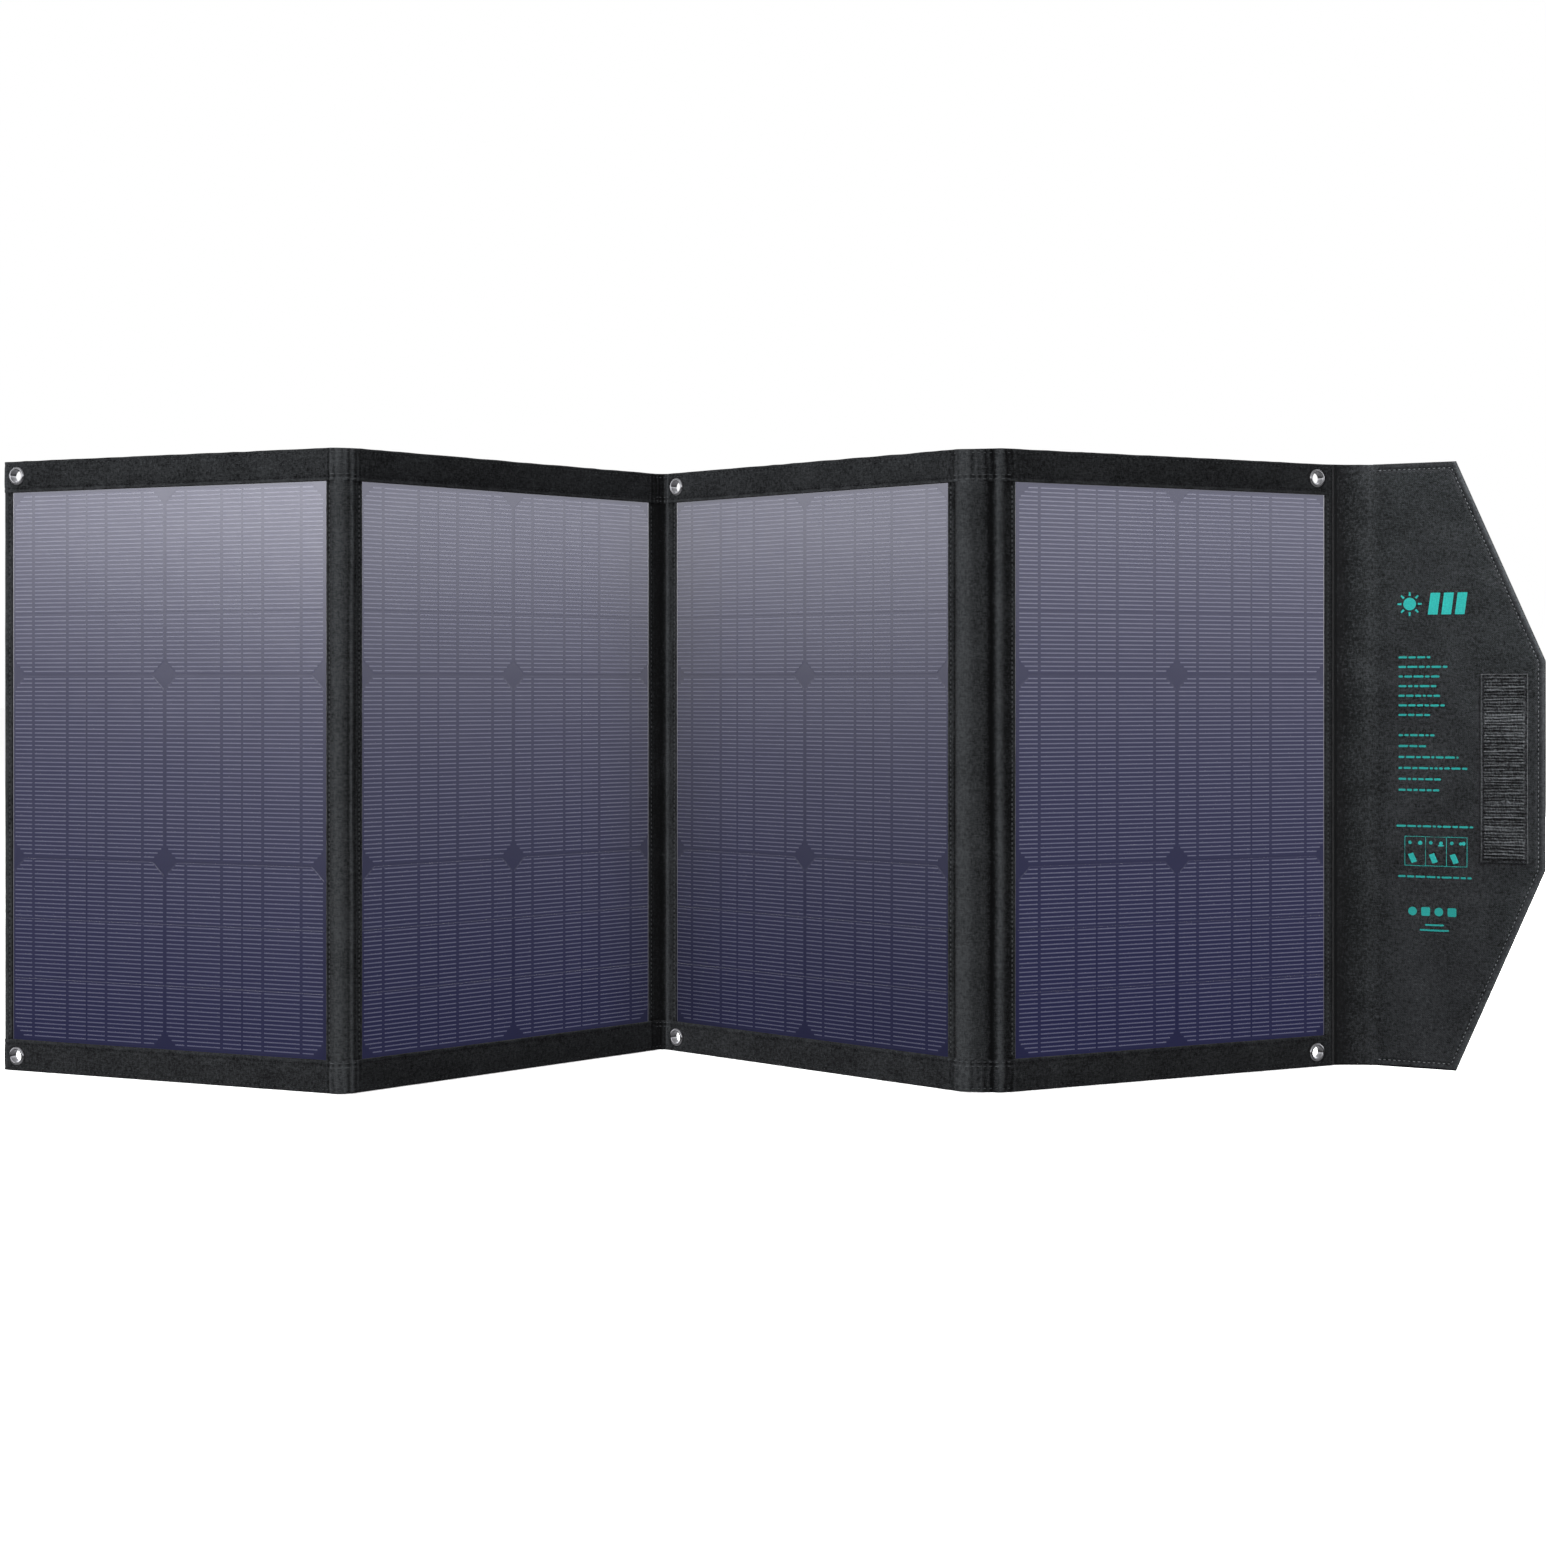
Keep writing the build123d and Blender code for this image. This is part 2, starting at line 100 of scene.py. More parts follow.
CORNERS = [np.array(JOINTS[name]["pos_m"][:2]) / MM for name in (
    "fold_1_outer", "fold_1", "fold_2_outer", "fold_2",
    "fold_3", "fold_3_outer", "flap_fold", "flap_fold_outer")]
BODY = ["panel_1", "spine_1", "panel_2", "spine_2", "panel_3", "spine_3", "panel_4",
        "flap_spine", "flap"]
LEGS = [end - start for start, end in zip(CORNERS, CORNERS[1:])]
INNER = [unit(leg) for leg in LEGS]
DIRECTIONS = np.array([mirrored_heading(INNER[0], INNER[1]), *INNER,
                       mirrored_heading(INNER[-1], INNER[-2])])      # one for each body
LENGTHS = ([PANEL_WIDTH + FOLD_GAP] + [float(np.linalg.norm(leg)) for leg in LEGS]
           + [FLAP_WIDTH])
LEG_STARTS = np.vstack([CORNERS[0] - DIRECTIONS[0] * LENGTHS[0]] + CORNERS)
STATION = np.cumsum([0.0] + LENGTHS)      # where each body starts along the chain
BEND = [3.2, 3.2, 3.0, 3.0, 6.0, 6.0, 6.0, 6.0]   # reach of the bend at each corner

# the four folds: three spines between panels, then the flap spine
FOLD_START, FOLD_END = STATION[1:8:2], STATION[2:9:2]
FOLD_MID = 0.5 * (FOLD_START + FOLD_END)
FOLD_HALF = 0.5 * (FOLD_END - FOLD_START)
FLAP_START = FOLD_END[3]
PANEL_START = {1: 0.0, 2: FOLD_END[0] + FOLD_GAP, 3: FOLD_END[1] + FOLD_GAP,
               4: FOLD_END[2] + FOLD_GAP}

# sewn edges of each window, from its panel's start
WINDOW_EDGES = {1: (BORDER, PANEL_WIDTH - BORDER + 1.2),
                2: (BORDER, PANEL_WIDTH - BORDER - 1.4),
                3: (BORDER + 2.1, PANEL_WIDTH - BORDER),
                4: (BORDER - 1.4, PANEL_WIDTH - BORDER - 2.4)}
WINDOW = {n: (PANEL_START[n] + first, PANEL_START[n] + last)
          for n, (first, last) in WINDOW_EDGES.items()}
EYELET_ALONG = {1: PANEL_START[1] + 11.0, 3: PANEL_START[3] + 9.6,
                4: PANEL_START[4] + PANEL_WIDTH - 16.5}
EYELET_Z = (10.5, H - 10.5)
EYELET_PLACES = {n: [(along, z) for z in EYELET_Z] for n, along in EYELET_ALONG.items()}


def place(along, z, out):
    """Chain coordinates in millimetres to world points in metres, with rounded fold corners."""
    along, z, out = np.broadcast_arrays(*(np.asarray(v, float) for v in (along, z, out)))
    leg = np.clip(np.searchsorted(STATION, along, side="right") - 1, 0, 8)
    tangent = DIRECTIONS[leg]
    base = LEG_STARTS[leg] + (along - STATION[leg])[..., None] * tangent
    for i, corner in enumerate(CORNERS):
        reach = BEND[i]
        near = np.abs(along - STATION[i + 1]) < reach
        if not near.any():
            continue
        # quadratic curve through the bend
        share = (((along[near] - STATION[i + 1]) + reach) / (2 * reach))[:, None]
        start = corner - reach * DIRECTIONS[i]
        end = corner + reach * DIRECTIONS[i + 1]
        base[near] = (1 - share) ** 2 * start + 2 * share * (1 - share) * corner + share ** 2 * end
        slope = 2 * (1 - share) * (corner - start) + 2 * share * (end - corner)
        tangent[near] = slope / np.linalg.norm(slope, axis=1)[:, None]
    points = np.empty(along.shape + (3,))
    points[..., 0] = base[..., 0] + out * tangent[..., 1]
    points[..., 1] = base[..., 1] - out * tangent[..., 0]
    points[..., 2] = z
    return points * MM


def place_one(along, z, out):
    return place([along], [z], [out])[0]


# ---------------------------------------------------------------- smooth functions for the cloth
def ease(x, start, end):
    """Smooth step from 0 at `start` to 1 at `end`."""
    share = np.clip((x - start) / (end - start), 0, 1)
    return share * share * (3 - 2 * share)


def plateau(x, rise_from, rise_to, fall_from, fall_to):
    return ease(x, rise_from, rise_to) * (1 - ease(x, fall_from, fall_to))


def bump(x, centre, width, power=2):
    return np.exp(-(((x - centre) / width) ** power))


def bumps(x, rows, origin=0.0, sway=0.0):
    """Sum of bumps. rows: height, centre from the origin, width, share of the sway (or none)."""
    total = 0.0
    for height, centre, width, *share in rows:
        shift = share[0] * sway if share else 0.0
        total = total + height * bump(x, origin + centre + shift, width)
    return total


def rounded(distance, radius, power=2):
    """Edge rounding: 0 at the edge, 1 from `radius` inwards."""
    share = np.clip(distance / radius, 0, 1)
    return np.sqrt(np.clip(1 - (1 - share) ** power, 0, 1))


def pucker(x):
    """One wave for every stitch."""
    return np.sin(2 * math.pi * x / STITCH)


wave_rng = np.random.default_rng(7)
WAVES = [(wave_rng.uniform(-1, 1), wave_rng.uniform(-1, 1), wave_rng.uniform(0, 6.28), length)
         for length in (90, 70, 55, 42, 33, 26, 20, 16, 12, 9) for _ in range(2)]


def drift(along, z, shortest=20, longest=100):
    """Seeded smooth noise, roughly -1..1, from waves within a range of lengths."""
    total = 0.0
    count = 0
    for run, climb, phase, length in WAVES:
        if shortest <= length <= longest:
            norm = math.hypot(run, climb) + 1e-6
            travel = (along * run / norm + z * climb / norm) / length
            total = total + np.sin(2 * math.pi * travel + phase)
            count += 1
    return total / math.sqrt(count) / 1.6


def from_hem(z):
    """Distance from the nearer of the top and bottom edges."""
    return np.minimum(z, H - z)


def eye_pinch(along, z):
    """1 on an eyelet, 0 away from it."""
    pinch = 0.0
    for places in EYELET_PLACES.values():
        for eye_along, eye_z in places:
            distance = np.hypot(along - eye_along, z - eye_z)
            pinch = np.maximum(pinch, 1 - ease(distance, 6.6, 9.5))
    return pinch


def rim(along, z):
    """0 at the outer edge of the fabric, 1 a little inside."""
    return rounded(np.minimum(from_hem(z), along), 1.3)


# ---------------------------------------------------------------- relief of the front cloth
# rows: height, centre, width, share of the sway; fold rows are centred from the fold's start
BAND_ROWS = [(0.26, 12.0, 5.0), (-0.40, BAND_SEAM, 0.9), (-0.16, BAND - 5.2, 0.8),
             (-0.30, HEM_SEAM, 0.8)]
WINDOW_ROWS = [(0.20, 0.7, 0.6), (-0.40, WINDOW_SEAM, 0.7), (0.16, 4.2, 1.3)]
FOLD_1_ROWS = [(1.6, 1.2, 4.6, 0.5), (-0.28, 7.1, 1.0, 1.0), (0.80, 8.6, 1.0, 0.6)]
FOLD_2_ROWS = [(-0.75, 3.0, 3.6), (0.75, 9.2, 1.9, 0.4)]
FOLD_3_ROWS = [(-0.25, 20.4, 1.3, 1.0), (2.1, 26.2, 2.7, 0.5), (-0.4, 32.4, 1.3)]
FLAP_FOLD_ROWS = [(-0.30, -4.9, 2.2), (0.25, -8.8, 0.7), (-1.35, -2.6, 2.0)]


def band_relief(along, z):
    """The folded band: stitch grooves, puckers and small ripples."""
    height = from_hem(z)
    ripple = np.sin(math.pi * along / STITCH + 2 * drift(along, z, 9, 60))
    return (0.62 + bumps(height, BAND_ROWS)
            + 0.10 * pucker(along) * bump(height, BAND_SEAM, 2.0)
            + 0.20 * drift(along * 1.3, z, 9, 34)
            + 0.10 * ripple * bump(height, 4.5, 2.5))


def border_relief(along, z):
    """Stitched borders beside the windows: a groove on the stitch line."""
    relief = 0.0
    for first, last in WINDOW.values():
        for edge, sign in ((first, -1), (last, 1)):
            distance = (along - edge) * sign
            relief = relief + bumps(distance, WINDOW_ROWS)
            relief = relief + 0.09 * pucker(z) * bump(distance, WINDOW_SEAM, 1.7)
    return relief


def fold_relief(along, z, bound):
    """Ridges and creases over the folds; `bound` is 1 where the binding strip lies."""
    sway = 0.35 * np.sin(z / 47.0) + 0.2 * np.sin(z / 19.0 + 1.0)
    wide_sway = 0.9 * np.sin(z / 70.0) + 0.35 * np.sin(z / 26.0 + 2)
    # fold 1: pillow on the corner, a crease, then a thin ridge; fold 2: the cloth tucks in
    ridges = bumps(along, FOLD_1_ROWS, FOLD_START[0], sway)
    ridges = ridges + bumps(along, FOLD_2_ROWS, FOLD_START[1], sway)
    # fold 3: wide pillow, a dark crease, then a second ridge
    start = FOLD_START[2]
    crown = along - (start + 4.0)
    dome = np.clip(1 - np.where(crown > 0, (crown / 16.8) ** 2, (crown / 7.2) ** 2), 0, 1)
    ridges = ridges + 3.5 * dome + bumps(along, FOLD_3_ROWS, start, wide_sway)
    relief = ridges * (1.0 + 0.16 * drift(along * 0.4, z * 0.5, 20, 90))
    ripple = np.sin((along - start) * 0.55 + 1.4 * drift(along * 0.5, z * 0.4, 30, 90))
    relief = relief + 0.12 * ripple * bump(along, start + 13, 17.0, power=4)
    # flap spine: bound edge, deep groove, soft hollow that runs on into the flap
    start = FOLD_START[3]
    relief = relief + 0.75 * bound * (1 - ease(along, start - 3.4, start - 1.8))
    relief = relief + bumps(along, FLAP_FOLD_ROWS, start)
    swell = np.clip((along - start - 1.0) / 21.0, 0, 1) ** 1.7
    swell = swell * (1 - ease(along, start + 21.0, start + 38.0))
    return relief + 1.15 * swell * (1 + 0.15 * drift(along, z, 30, 100))


def gathers(along, z):
    """The band gathers over the three folds between panels."""
    wrinkle = 0.34 * np.sin(along * 1.45 + 2.0 * drift(along, z, 30, 90))
    total = 0.0
    for k in range(3):
        reach = bump(along, FOLD_MID[k], FOLD_HALF[k] + 7, power=4)
        total = total + reach * (wrinkle + 0.22 * np.sin(along * 0.83 + k))
    return total


def front(along, z):
    """Height of the front cloth over the middle plane."""
    start = FOLD_START[3]
    bound = ease(along, start - 10.8, start - 10.2)   # the binding strip runs over the band
    in_band = np.maximum(1 - ease(z, BAND - 0.35, BAND), ease(z, H - BAND, H - BAND + 0.35))
    band = in_band * (1 - bound)
    past_fold = ease(along, start - 1.0, start + 2.0)      # no separate band on the flap spine
    rise = 2.0 + 0.10 * drift(along, z, 20, 60)
    rise = rise + (border_relief(along, z) + fold_relief(along, z, bound)) * (1 - 0.30 * band)
    rise = rise + band * (1 - past_fold) * (band_relief(along, z) + 0.8 * gathers(along, z))
    rise = rise - 0.45 * past_fold
    pinch = eye_pinch(along, z)
    return (rise * (1 - pinch) + 2.36 * pinch) * rim(along, z)


def painted_fold_shading(along):
    """Painted shade and highlight across the folds: above 0 darker (painted shade in the creases
    and over the flap spine), below 0 lighter (painted highlight on the ridges).
    """
    first, second, third, flap = FOLD_START
    # negative rows paint highlight on the fold ridges, positive ones paint shade in the creases
    tone = bumps(along, [(-0.80, 2.2, 5.8), (-1.15, 8.4, 1.6), (-0.2, 12.6, 2.2)], first)
    tone = tone + 0.85 * bump(along, second - 1.5, 7.5, power=4)
    tone = tone + bumps(along, [(-0.45, 9.4, 2.6)], second)
    tone = tone + bumps(along, [(-0.75, 3.0, 8.0), (-0.30, 26.0, 2.4)], third)
    tone = tone + 0.22 * plateau(along, third + 7, third + 20, third + 20.5, third + 23.5)
    # painted shade falling off from the flap spine's crease, then a flat painted shade over the
    # spine
    crease = flap - 2.2
    fade = np.exp(-np.clip(along - crease, 0, 90) / 9.0)
    tone = tone + 1.5 * np.where(along > crease, fade, bump(along, crease, 3.4))
    return tone + 0.22 * plateau(along, flap - 2, flap + 4, flap + 20, flap + 38)


def hollow(surface, along, z, painted_shading=0.0):
    """How far a cloth lies under its surroundings, plus any painted shading: above 0 in a crease,
    below 0 on a ridge; the cloth colour takes it as painted shade in creases and painted highlight
    on ridges.
    """
    step = 1.7
    here = surface(along, z)
    below, above = (np.clip(z + shift, 2.0, H - 2.0) for shift in (-step, step))
    near = 0.25 * (surface(along - step, z) + surface(along + step, z)
                   + surface(along, below) + surface(along, above))
    far = 0.5 * (surface(along - 3 * step, z) + surface(along + 3 * step, z))
    return np.clip((near - here) * 1.6 + (far - here) * 0.35 + painted_shading, -1, 1.6)


def back(along, z):
    """Depth of the back cloth behind the middle plane, as a positive number."""
    height = from_hem(z)
    depth = 1.95 + 0.12 * drift(along + 300, z * 0.9, 20, 95)
    depth = depth + 0.28 * (1 - ease(height, 11.5, 12.0))
    depth = depth + bumps(height, [(-0.24, BACK_SEAM, 0.8), (-0.2, 2.6, 0.8)])
    depth = depth + 0.06 * pucker(along) * bump(height, BACK_SEAM, 1.8)
    for seam in (*(FOLD_START - 6.0), *(FOLD_END + 6.0)):
        depth = depth - 0.30 * bump(along, seam, 0.8) + 0.05 * pucker(z) * bump(along, seam, 1.6)
    for middle, half in zip(FOLD_MID, FOLD_HALF):
        fullness = 0.35 if half < 6 else 0.9
        swell = fullness * bump(along, middle, half + 1.0)
        depth = depth + swell * (1 + 0.3 * drift(along, z, 20, 70))
    pinch = eye_pinch(along, z)
    return (depth * (1 - pinch) + 1.95 * pinch) * rim(along, z)


def edge_wave(along, z):
    """Lets the upper hem line dip unevenly."""
    dip = 0.35 * drift(along, 50.0, 26, 100) + 0.12 * drift(along, 0.0, 9, 24)
    return z - ease(z, H - BAND, H) * np.abs(dip) * 0.9


# ---------------------------------------------------------------- materials
class Nodes:
    """Short calls for building a node tree."""

    def __init__(self, tree):
        self.tree = tree

    def node(self, kind, **settings):
        node = self.tree.nodes.new(kind)
        for key, value in settings.items():
            setattr(node, key, value)
        return node

    def put(self, socket, value):
        if isinstance(value, bpy.types.NodeSocket):
            self.tree.links.new(value, socket)
        else:
            socket.default_value = value

    def fill(self, node, values):
        for key, value in values.items():
            self.put(node.inputs[key], value)

    def math(self, operation, first, second=0.0, clamp=False):
        node = self.node("ShaderNodeMath", operation=operation, use_clamp=clamp)
        self.fill(node, {0: first, 1: second})
        return node.outputs[0]

    def noise(self, vector, scale, detail=3.0, rough=0.55):
        node = self.node("ShaderNodeTexNoise")
        self.fill(node, {"Vector": vector, "Scale": scale, "Detail": detail, "Roughness": rough})
        return node.outputs["Fac"]

    def ramp(self, factor, *stops):
        """Colour ramp. stops: (position, rgb)."""
        node = self.node("ShaderNodeValToRGB")
        self.put(node.inputs[0], factor)
        elements = node.color_ramp.elements
        while len(elements) < len(stops):
            elements.new(0.5)
        for element, (position, color) in zip(elements, stops):
            element.position = position
            element.color = (*color, 1)
        return node.outputs[0]

    def mix(self, factor, first, second, mode="MIX"):
        node = self.node("ShaderNodeMix", data_type="RGBA", blend_type=mode)
        self.fill(node, {0: factor, 6: first, 7: second})
        return node.outputs[2]

    def millimetres(self, use_uv):
        """Texture coordinates in millimetres, from the UV map or from the object."""
        if use_uv:
            source, scale = self.node("ShaderNodeUVMap", uv_map="UVMap").outputs[0], 100.0
        else:
            source, scale = self.node("ShaderNodeTexCoord").outputs["Object"], 1000.0
        return self.scale(source, (scale, scale, scale))

    def scale(self, vector, scale):
        node = self.node("ShaderNodeMapping")
        self.fill(node, {0: vector, "Scale": scale})
        return node.outputs[0]

    def bump(self, height, strength, distance):
        node = self.node("ShaderNodeBump")
        self.fill(node, {"Height": height, "Strength": strength, "Distance": distance})
        return node.outputs[0]

    def split(self, vector):
        node = self.node("ShaderNodeSeparateXYZ")
        self.put(node.inputs[0], vector)
        return node.outputs


def new_material(name):
    """A material with only an output and a Principled shader."""
    material = bpy.data.materials.new(name)
    material.use_nodes = True
    tree = material.node_tree
    tree.nodes.clear()
    output = tree.nodes.new("ShaderNodeOutputMaterial")
    shader = tree.nodes.new("ShaderNodeBsdfPrincipled")
    tree.links.new(shader.outputs[0], output.inputs[0])
    return material, Nodes(tree), shader


def times(color, factor):
    return tuple(channel * factor for channel in color)


def canvas_material(name, dark=(0.0078, 0.0083, 0.0089), light=(0.0284, 0.0302, 0.0322),
                    pitch=0.62, use_uv=True, spec=0.05, rough=0.86, sheen=0.03, grain=1.35):
    """Plain-weave canvas: over-and-under threads, slubs, lighter raised specks, with painted shade
    in the creases and painted highlight on the ridges.
    """
    material, n, shader = new_material(name)
    vector = n.millimetres(use_uv)
    x, y, z = n.split(vector)
    if not use_uv:
        x, y = n.math("ADD", x, y), z
    wave_x = n.math("SINE", n.math("MULTIPLY", x, math.pi / pitch))
    wave_y = n.math("SINE", n.math("MULTIPLY", y, math.pi / pitch))
    weave = n.math("MULTIPLY", wave_x, wave_y)     # checker of over and under
    thread_x = n.math("ABSOLUTE", wave_x)
    thread_y = n.math("ABSOLUTE", wave_y)
    height = n.math("ADD", n.math("MULTIPLY", weave, 0.35),
                    n.math("MULTIPLY", n.math("ADD", thread_x, thread_y), 0.35))
    slub_x = n.noise(n.scale(vector, (0.22, 1.9, 1)), scale=1.0, detail=2.0)
    slub_y = n.noise(n.scale(vector, (1.9, 0.22, 1)), scale=1.0, detail=2.0)
    broad = n.noise(vector, scale=0.03, detail=4.0, rough=0.6)
    fleck = n.noise(vector, scale=1.1, detail=3.0, rough=0.7)
    crumb = n.noise(vector, scale=0.42, detail=2.0, rough=0.75)
    # tone: weave height, then each noise by its weight, then the painted crease shade and ridge
    # highlight
    tone = n.math("ADD", n.math("MULTIPLY", height, 0.22), 0.30)
    for layer, weight in ((slub_x, 0.62), (slub_y, 0.62), (broad, 0.45), (fleck, 0.85),
                          (crumb, 0.85)):
        centred = n.math("SUBTRACT", layer, 0.5)
        tone = n.math("ADD", tone, n.math("MULTIPLY", centred, weight * grain))
    # painted shade in creases and painted highlight on ridges, from the shade attribute
    shade = n.node("ShaderNodeAttribute", attribute_name="shade").outputs["Fac"]
    tone = n.math("SUBTRACT", tone, n.math("MULTIPLY", shade, 0.42))
    color = n.ramp(tone, (0.0, times(dark, 0.25)), (0.22, dark), (0.75, light),
                   (1.0, times(light, 1.5)))
    # relief: the weave with flecks and crumbs on it
    roughness = n.math("ADD", n.math("MULTIPLY", fleck, 0.12), rough - 0.06)
    specks = n.math("ADD", n.math("MULTIPLY", fleck, 0.7), n.math("MULTIPLY", crumb, 2.2))
    relief = n.math("ADD", height, specks)
    n.fill(shader, {"Base Color": color, "Roughness": roughness, "Specular IOR Level": spec,
                    "Sheen Weight": sheen, "Sheen Roughness": 0.5,
                    "Normal": n.bump(relief, strength=0.75, distance=0.00022)})
    return material


def laminate_material(name, base, top, coat_rough=0.12):
    """Cells seen through a satin film: the film's sheen is a coat over the silicon, and part of it
    is painted into the colour as a lighter top.
    """
    material, n, shader = new_material(name)
    vector = n.millimetres(use_uv=True)
    _, y, _ = n.split(vector)
    # painted sheen: colour runs from base to a lighter top over the window's height, a little
    # mottled
    level = n.math("DIVIDE", n.math("SUBTRACT", y, BAND), H - 2 * BAND, clamp=True)
    mottle = n.noise(vector, scale=0.012, detail=3.0, rough=0.55)
    mottle = n.math("MULTIPLY", n.math("SUBTRACT", mottle, 0.5), 0.25)
    color = n.ramp(n.math("ADD", level, mottle), (0.0, base), (1.0, top))
    grain = n.noise(vector, scale=0.55, detail=3.0, rough=0.6)
    color = n.mix(n.math("MULTIPLY", grain, 0.35), color, times(base, 0.8) + (1,))
    smear = n.noise(vector, scale=0.05, detail=3.0, rough=0.6)
    coat_roughness = n.math("ADD", n.math("MULTIPLY", smear, 0.06), coat_rough - 0.03)
    # slow waves and a fine grain in the film
    peel = n.math("ADD", n.math("MULTIPLY", n.noise(vector, scale=0.02, detail=2.0), 1.0),
                  n.math("MULTIPLY", n.noise(vector, scale=1.6, detail=2.0), 0.02))
    n.fill(shader, {"Base Color": color, "Roughness": 0.6, "Specular IOR Level": 0.0,
                    "Coat Weight": 1.0, "Coat IOR": 1.7, "Coat Roughness": coat_roughness,
                    "Coat Normal": n.bump(peel, strength=0.12, distance=0.0006)})
    return material


def simple(name, color, rough, metallic=0.0, spec=0.5, vary=0.25, scale=0.6, bump=0.0,
           bump_scale=3.0, coat=0.0, use_uv=False, worn=None):
    """Moulded or plated surface with grain, mottling and rubbed edges."""
    material, n, shader = new_material(name)
    vector = n.millimetres(use_uv)
    mottle = n.noise(vector, scale, detail=4.0, rough=0.6)
    mottled = n.ramp(mottle, (0.3, times(color, 1 - vary)), (0.7, times(color, 1 + vary)))
    if worn:
        edge = n.node("ShaderNodeNewGeometry").outputs["Pointiness"]
        wear = n.math("MULTIPLY", n.math("SUBTRACT", edge, 0.53), 10.0, clamp=True)
        patches = n.ramp(n.noise(vector, scale=0.8, detail=3.0),
                         (0.4, (0, 0, 0)), (0.6, (1, 1, 1)))
        mottled = n.mix(n.math("MULTIPLY", wear, patches), mottled, (*worn, 1))
    uneven = n.math("MULTIPLY", n.math("SUBTRACT", mottle, 0.5), 0.22)
    n.fill(shader, {"Base Color": mottled, "Metallic": metallic, "Specular IOR Level": spec,
                    "Roughness": n.math("ADD", uneven, rough, clamp=True)})
    if coat:
        n.fill(shader, {"Coat Weight": coat, "Coat Roughness": 0.15})
    if bump:
        grain = n.noise(vector, bump_scale, detail=4.0, rough=0.65)
        n.fill(shader, {"Normal": n.bump(grain, strength=0.6, distance=bump)})
    return material


THREAD = dict(vary=0.4, scale=1.4, bump=0.00008, bump_scale=5.0, use_uv=True)
PRINT = dict(rough=0.6, spec=0.12, bump=0.00004, bump_scale=5.0, use_uv=True)
MATERIALS = {
    "canvas": canvas_material("charcoal_canvas"),
    # spare canvas for pieces without a UV map
    "canvas_obj": canvas_material("charcoal_canvas_obj", use_uv=False),
    "flap": canvas_material("flap_canvas", dark=(0.0046, 0.0049, 0.0053),
                            light=(0.0150, 0.0160, 0.0171)),
    "tape": canvas_material("zip_tape_weave", dark=(0.008, 0.008, 0.009),
                            light=(0.022, 0.022, 0.024), pitch=0.4, use_uv=False),
    "thread": simple("sewing_thread", (0.050, 0.053, 0.056), rough=0.6, spec=0.12, **THREAD),
    "thread_dim": simple("sewing_thread_dim", (0.026, 0.0275, 0.029), rough=0.6, spec=0.10,
                         **THREAD),
    "thread_dark": simple("sewing_thread_dark", (0.006, 0.006, 0.007), rough=0.55, spec=0.08,
                          **THREAD),
    # each laminate's top colour holds painted sheen, lighter than its base
    "cells": laminate_material("silicon_under_film", base=(0.0235, 0.0245, 0.0790),
                               top=(0.030, 0.031, 0.086)),
    "sheet": laminate_material("backsheet_under_film", base=(0.0215, 0.0225, 0.0735),
                               top=(0.028, 0.029, 0.083)),
    "ribbon": laminate_material("ribbon_under_film", base=(0.028, 0.0290, 0.084),
                                top=(0.035, 0.036, 0.091)),
    "finger": laminate_material("finger_lines", base=(0.128, 0.131, 0.225),
                                top=(0.190, 0.192, 0.285)),
    # pale strips that paint the highlight on the film's edge, lighter towards the top
    "film_edge": laminate_material("film_edge", base=(0.13, 0.13, 0.17), top=(0.42, 0.42, 0.46),
                                   coat_rough=0.2),
    "nickel": simple("bright_nickel", (0.17, 0.17, 0.168), rough=0.16, metallic=1.0, vary=0.10,
                     scale=0.9, bump=0.00003, bump_scale=2.0),
    "plastic": simple("moulded_plastic", (0.020, 0.020, 0.022), rough=0.52, scale=0.5,
                      bump=0.00007, bump_scale=4.5),
    "rubber": simple("soft_rubber", (0.018, 0.018, 0.019), rough=0.72, vary=0.3, scale=0.4,
                     bump=0.00006),
    "enamel": simple("black_enamel", (0.020, 0.020, 0.022), rough=0.32, metallic=0.3, vary=0.3,
                     scale=0.8, bump=0.00003, worn=(0.45, 0.44, 0.42)),
    "pcb": simple("solder_mask", (0.012, 0.085, 0.035), rough=0.35, vary=0.3, scale=0.7,
                  coat=0.4),
    "lens": simple("green_lens", (0.06, 0.45, 0.33), rough=0.12, vary=0.15, scale=0.5, coat=0.6),
    "board": simple("laminate_board", (0.02, 0.02, 0.03), rough=0.5, vary=0.3, scale=0.2),
    "wire": simple("wire_sleeve", (0.02, 0.02, 0.02), rough=0.45, vary=0.2, scale=1.0),
    "print": simple("teal_print", (0.010, 0.125, 0.116), vary=0.18, scale=0.9, **PRINT),
    "print_fine": simple("teal_print_fine", (0.008, 0.100, 0.092), vary=0.22, scale=1.5,
                         **PRINT),
    "hook": canvas_material("hook_tape", dark=(0.0036, 0.0039, 0.0042),
                            light=(0.0225, 0.0240, 0.0255), pitch=0.5, spec=0.08, rough=0.8,
                            sheen=0.05, grain=2.0),
}


# ---------------------------------------------------------------- mesh helpers
def new_mesh(name, points, faces, uvs, validate):
    mesh = bpy.data.meshes.new(name)
    mesh.from_pydata([tuple(p) for p in points], [], [tuple(int(i) for i in f) for f in faces])
    if validate:
        mesh.validate(clean_customdata=False)
    layer = mesh.uv_layers.new(name="UVMap")
    corners = np.empty(len(mesh.loops), int)
    mesh.loops.foreach_get("vertex_index", corners)
    layer.data.foreach_set("uv", np.asarray(uvs, float)[corners].ravel())
    return mesh


def add_object(name, mesh, material):
    obj = bpy.data.objects.new(name, mesh)
    bpy.context.scene.collection.objects.link(obj)
    mesh.materials.append(MATERIALS[material])
    return obj


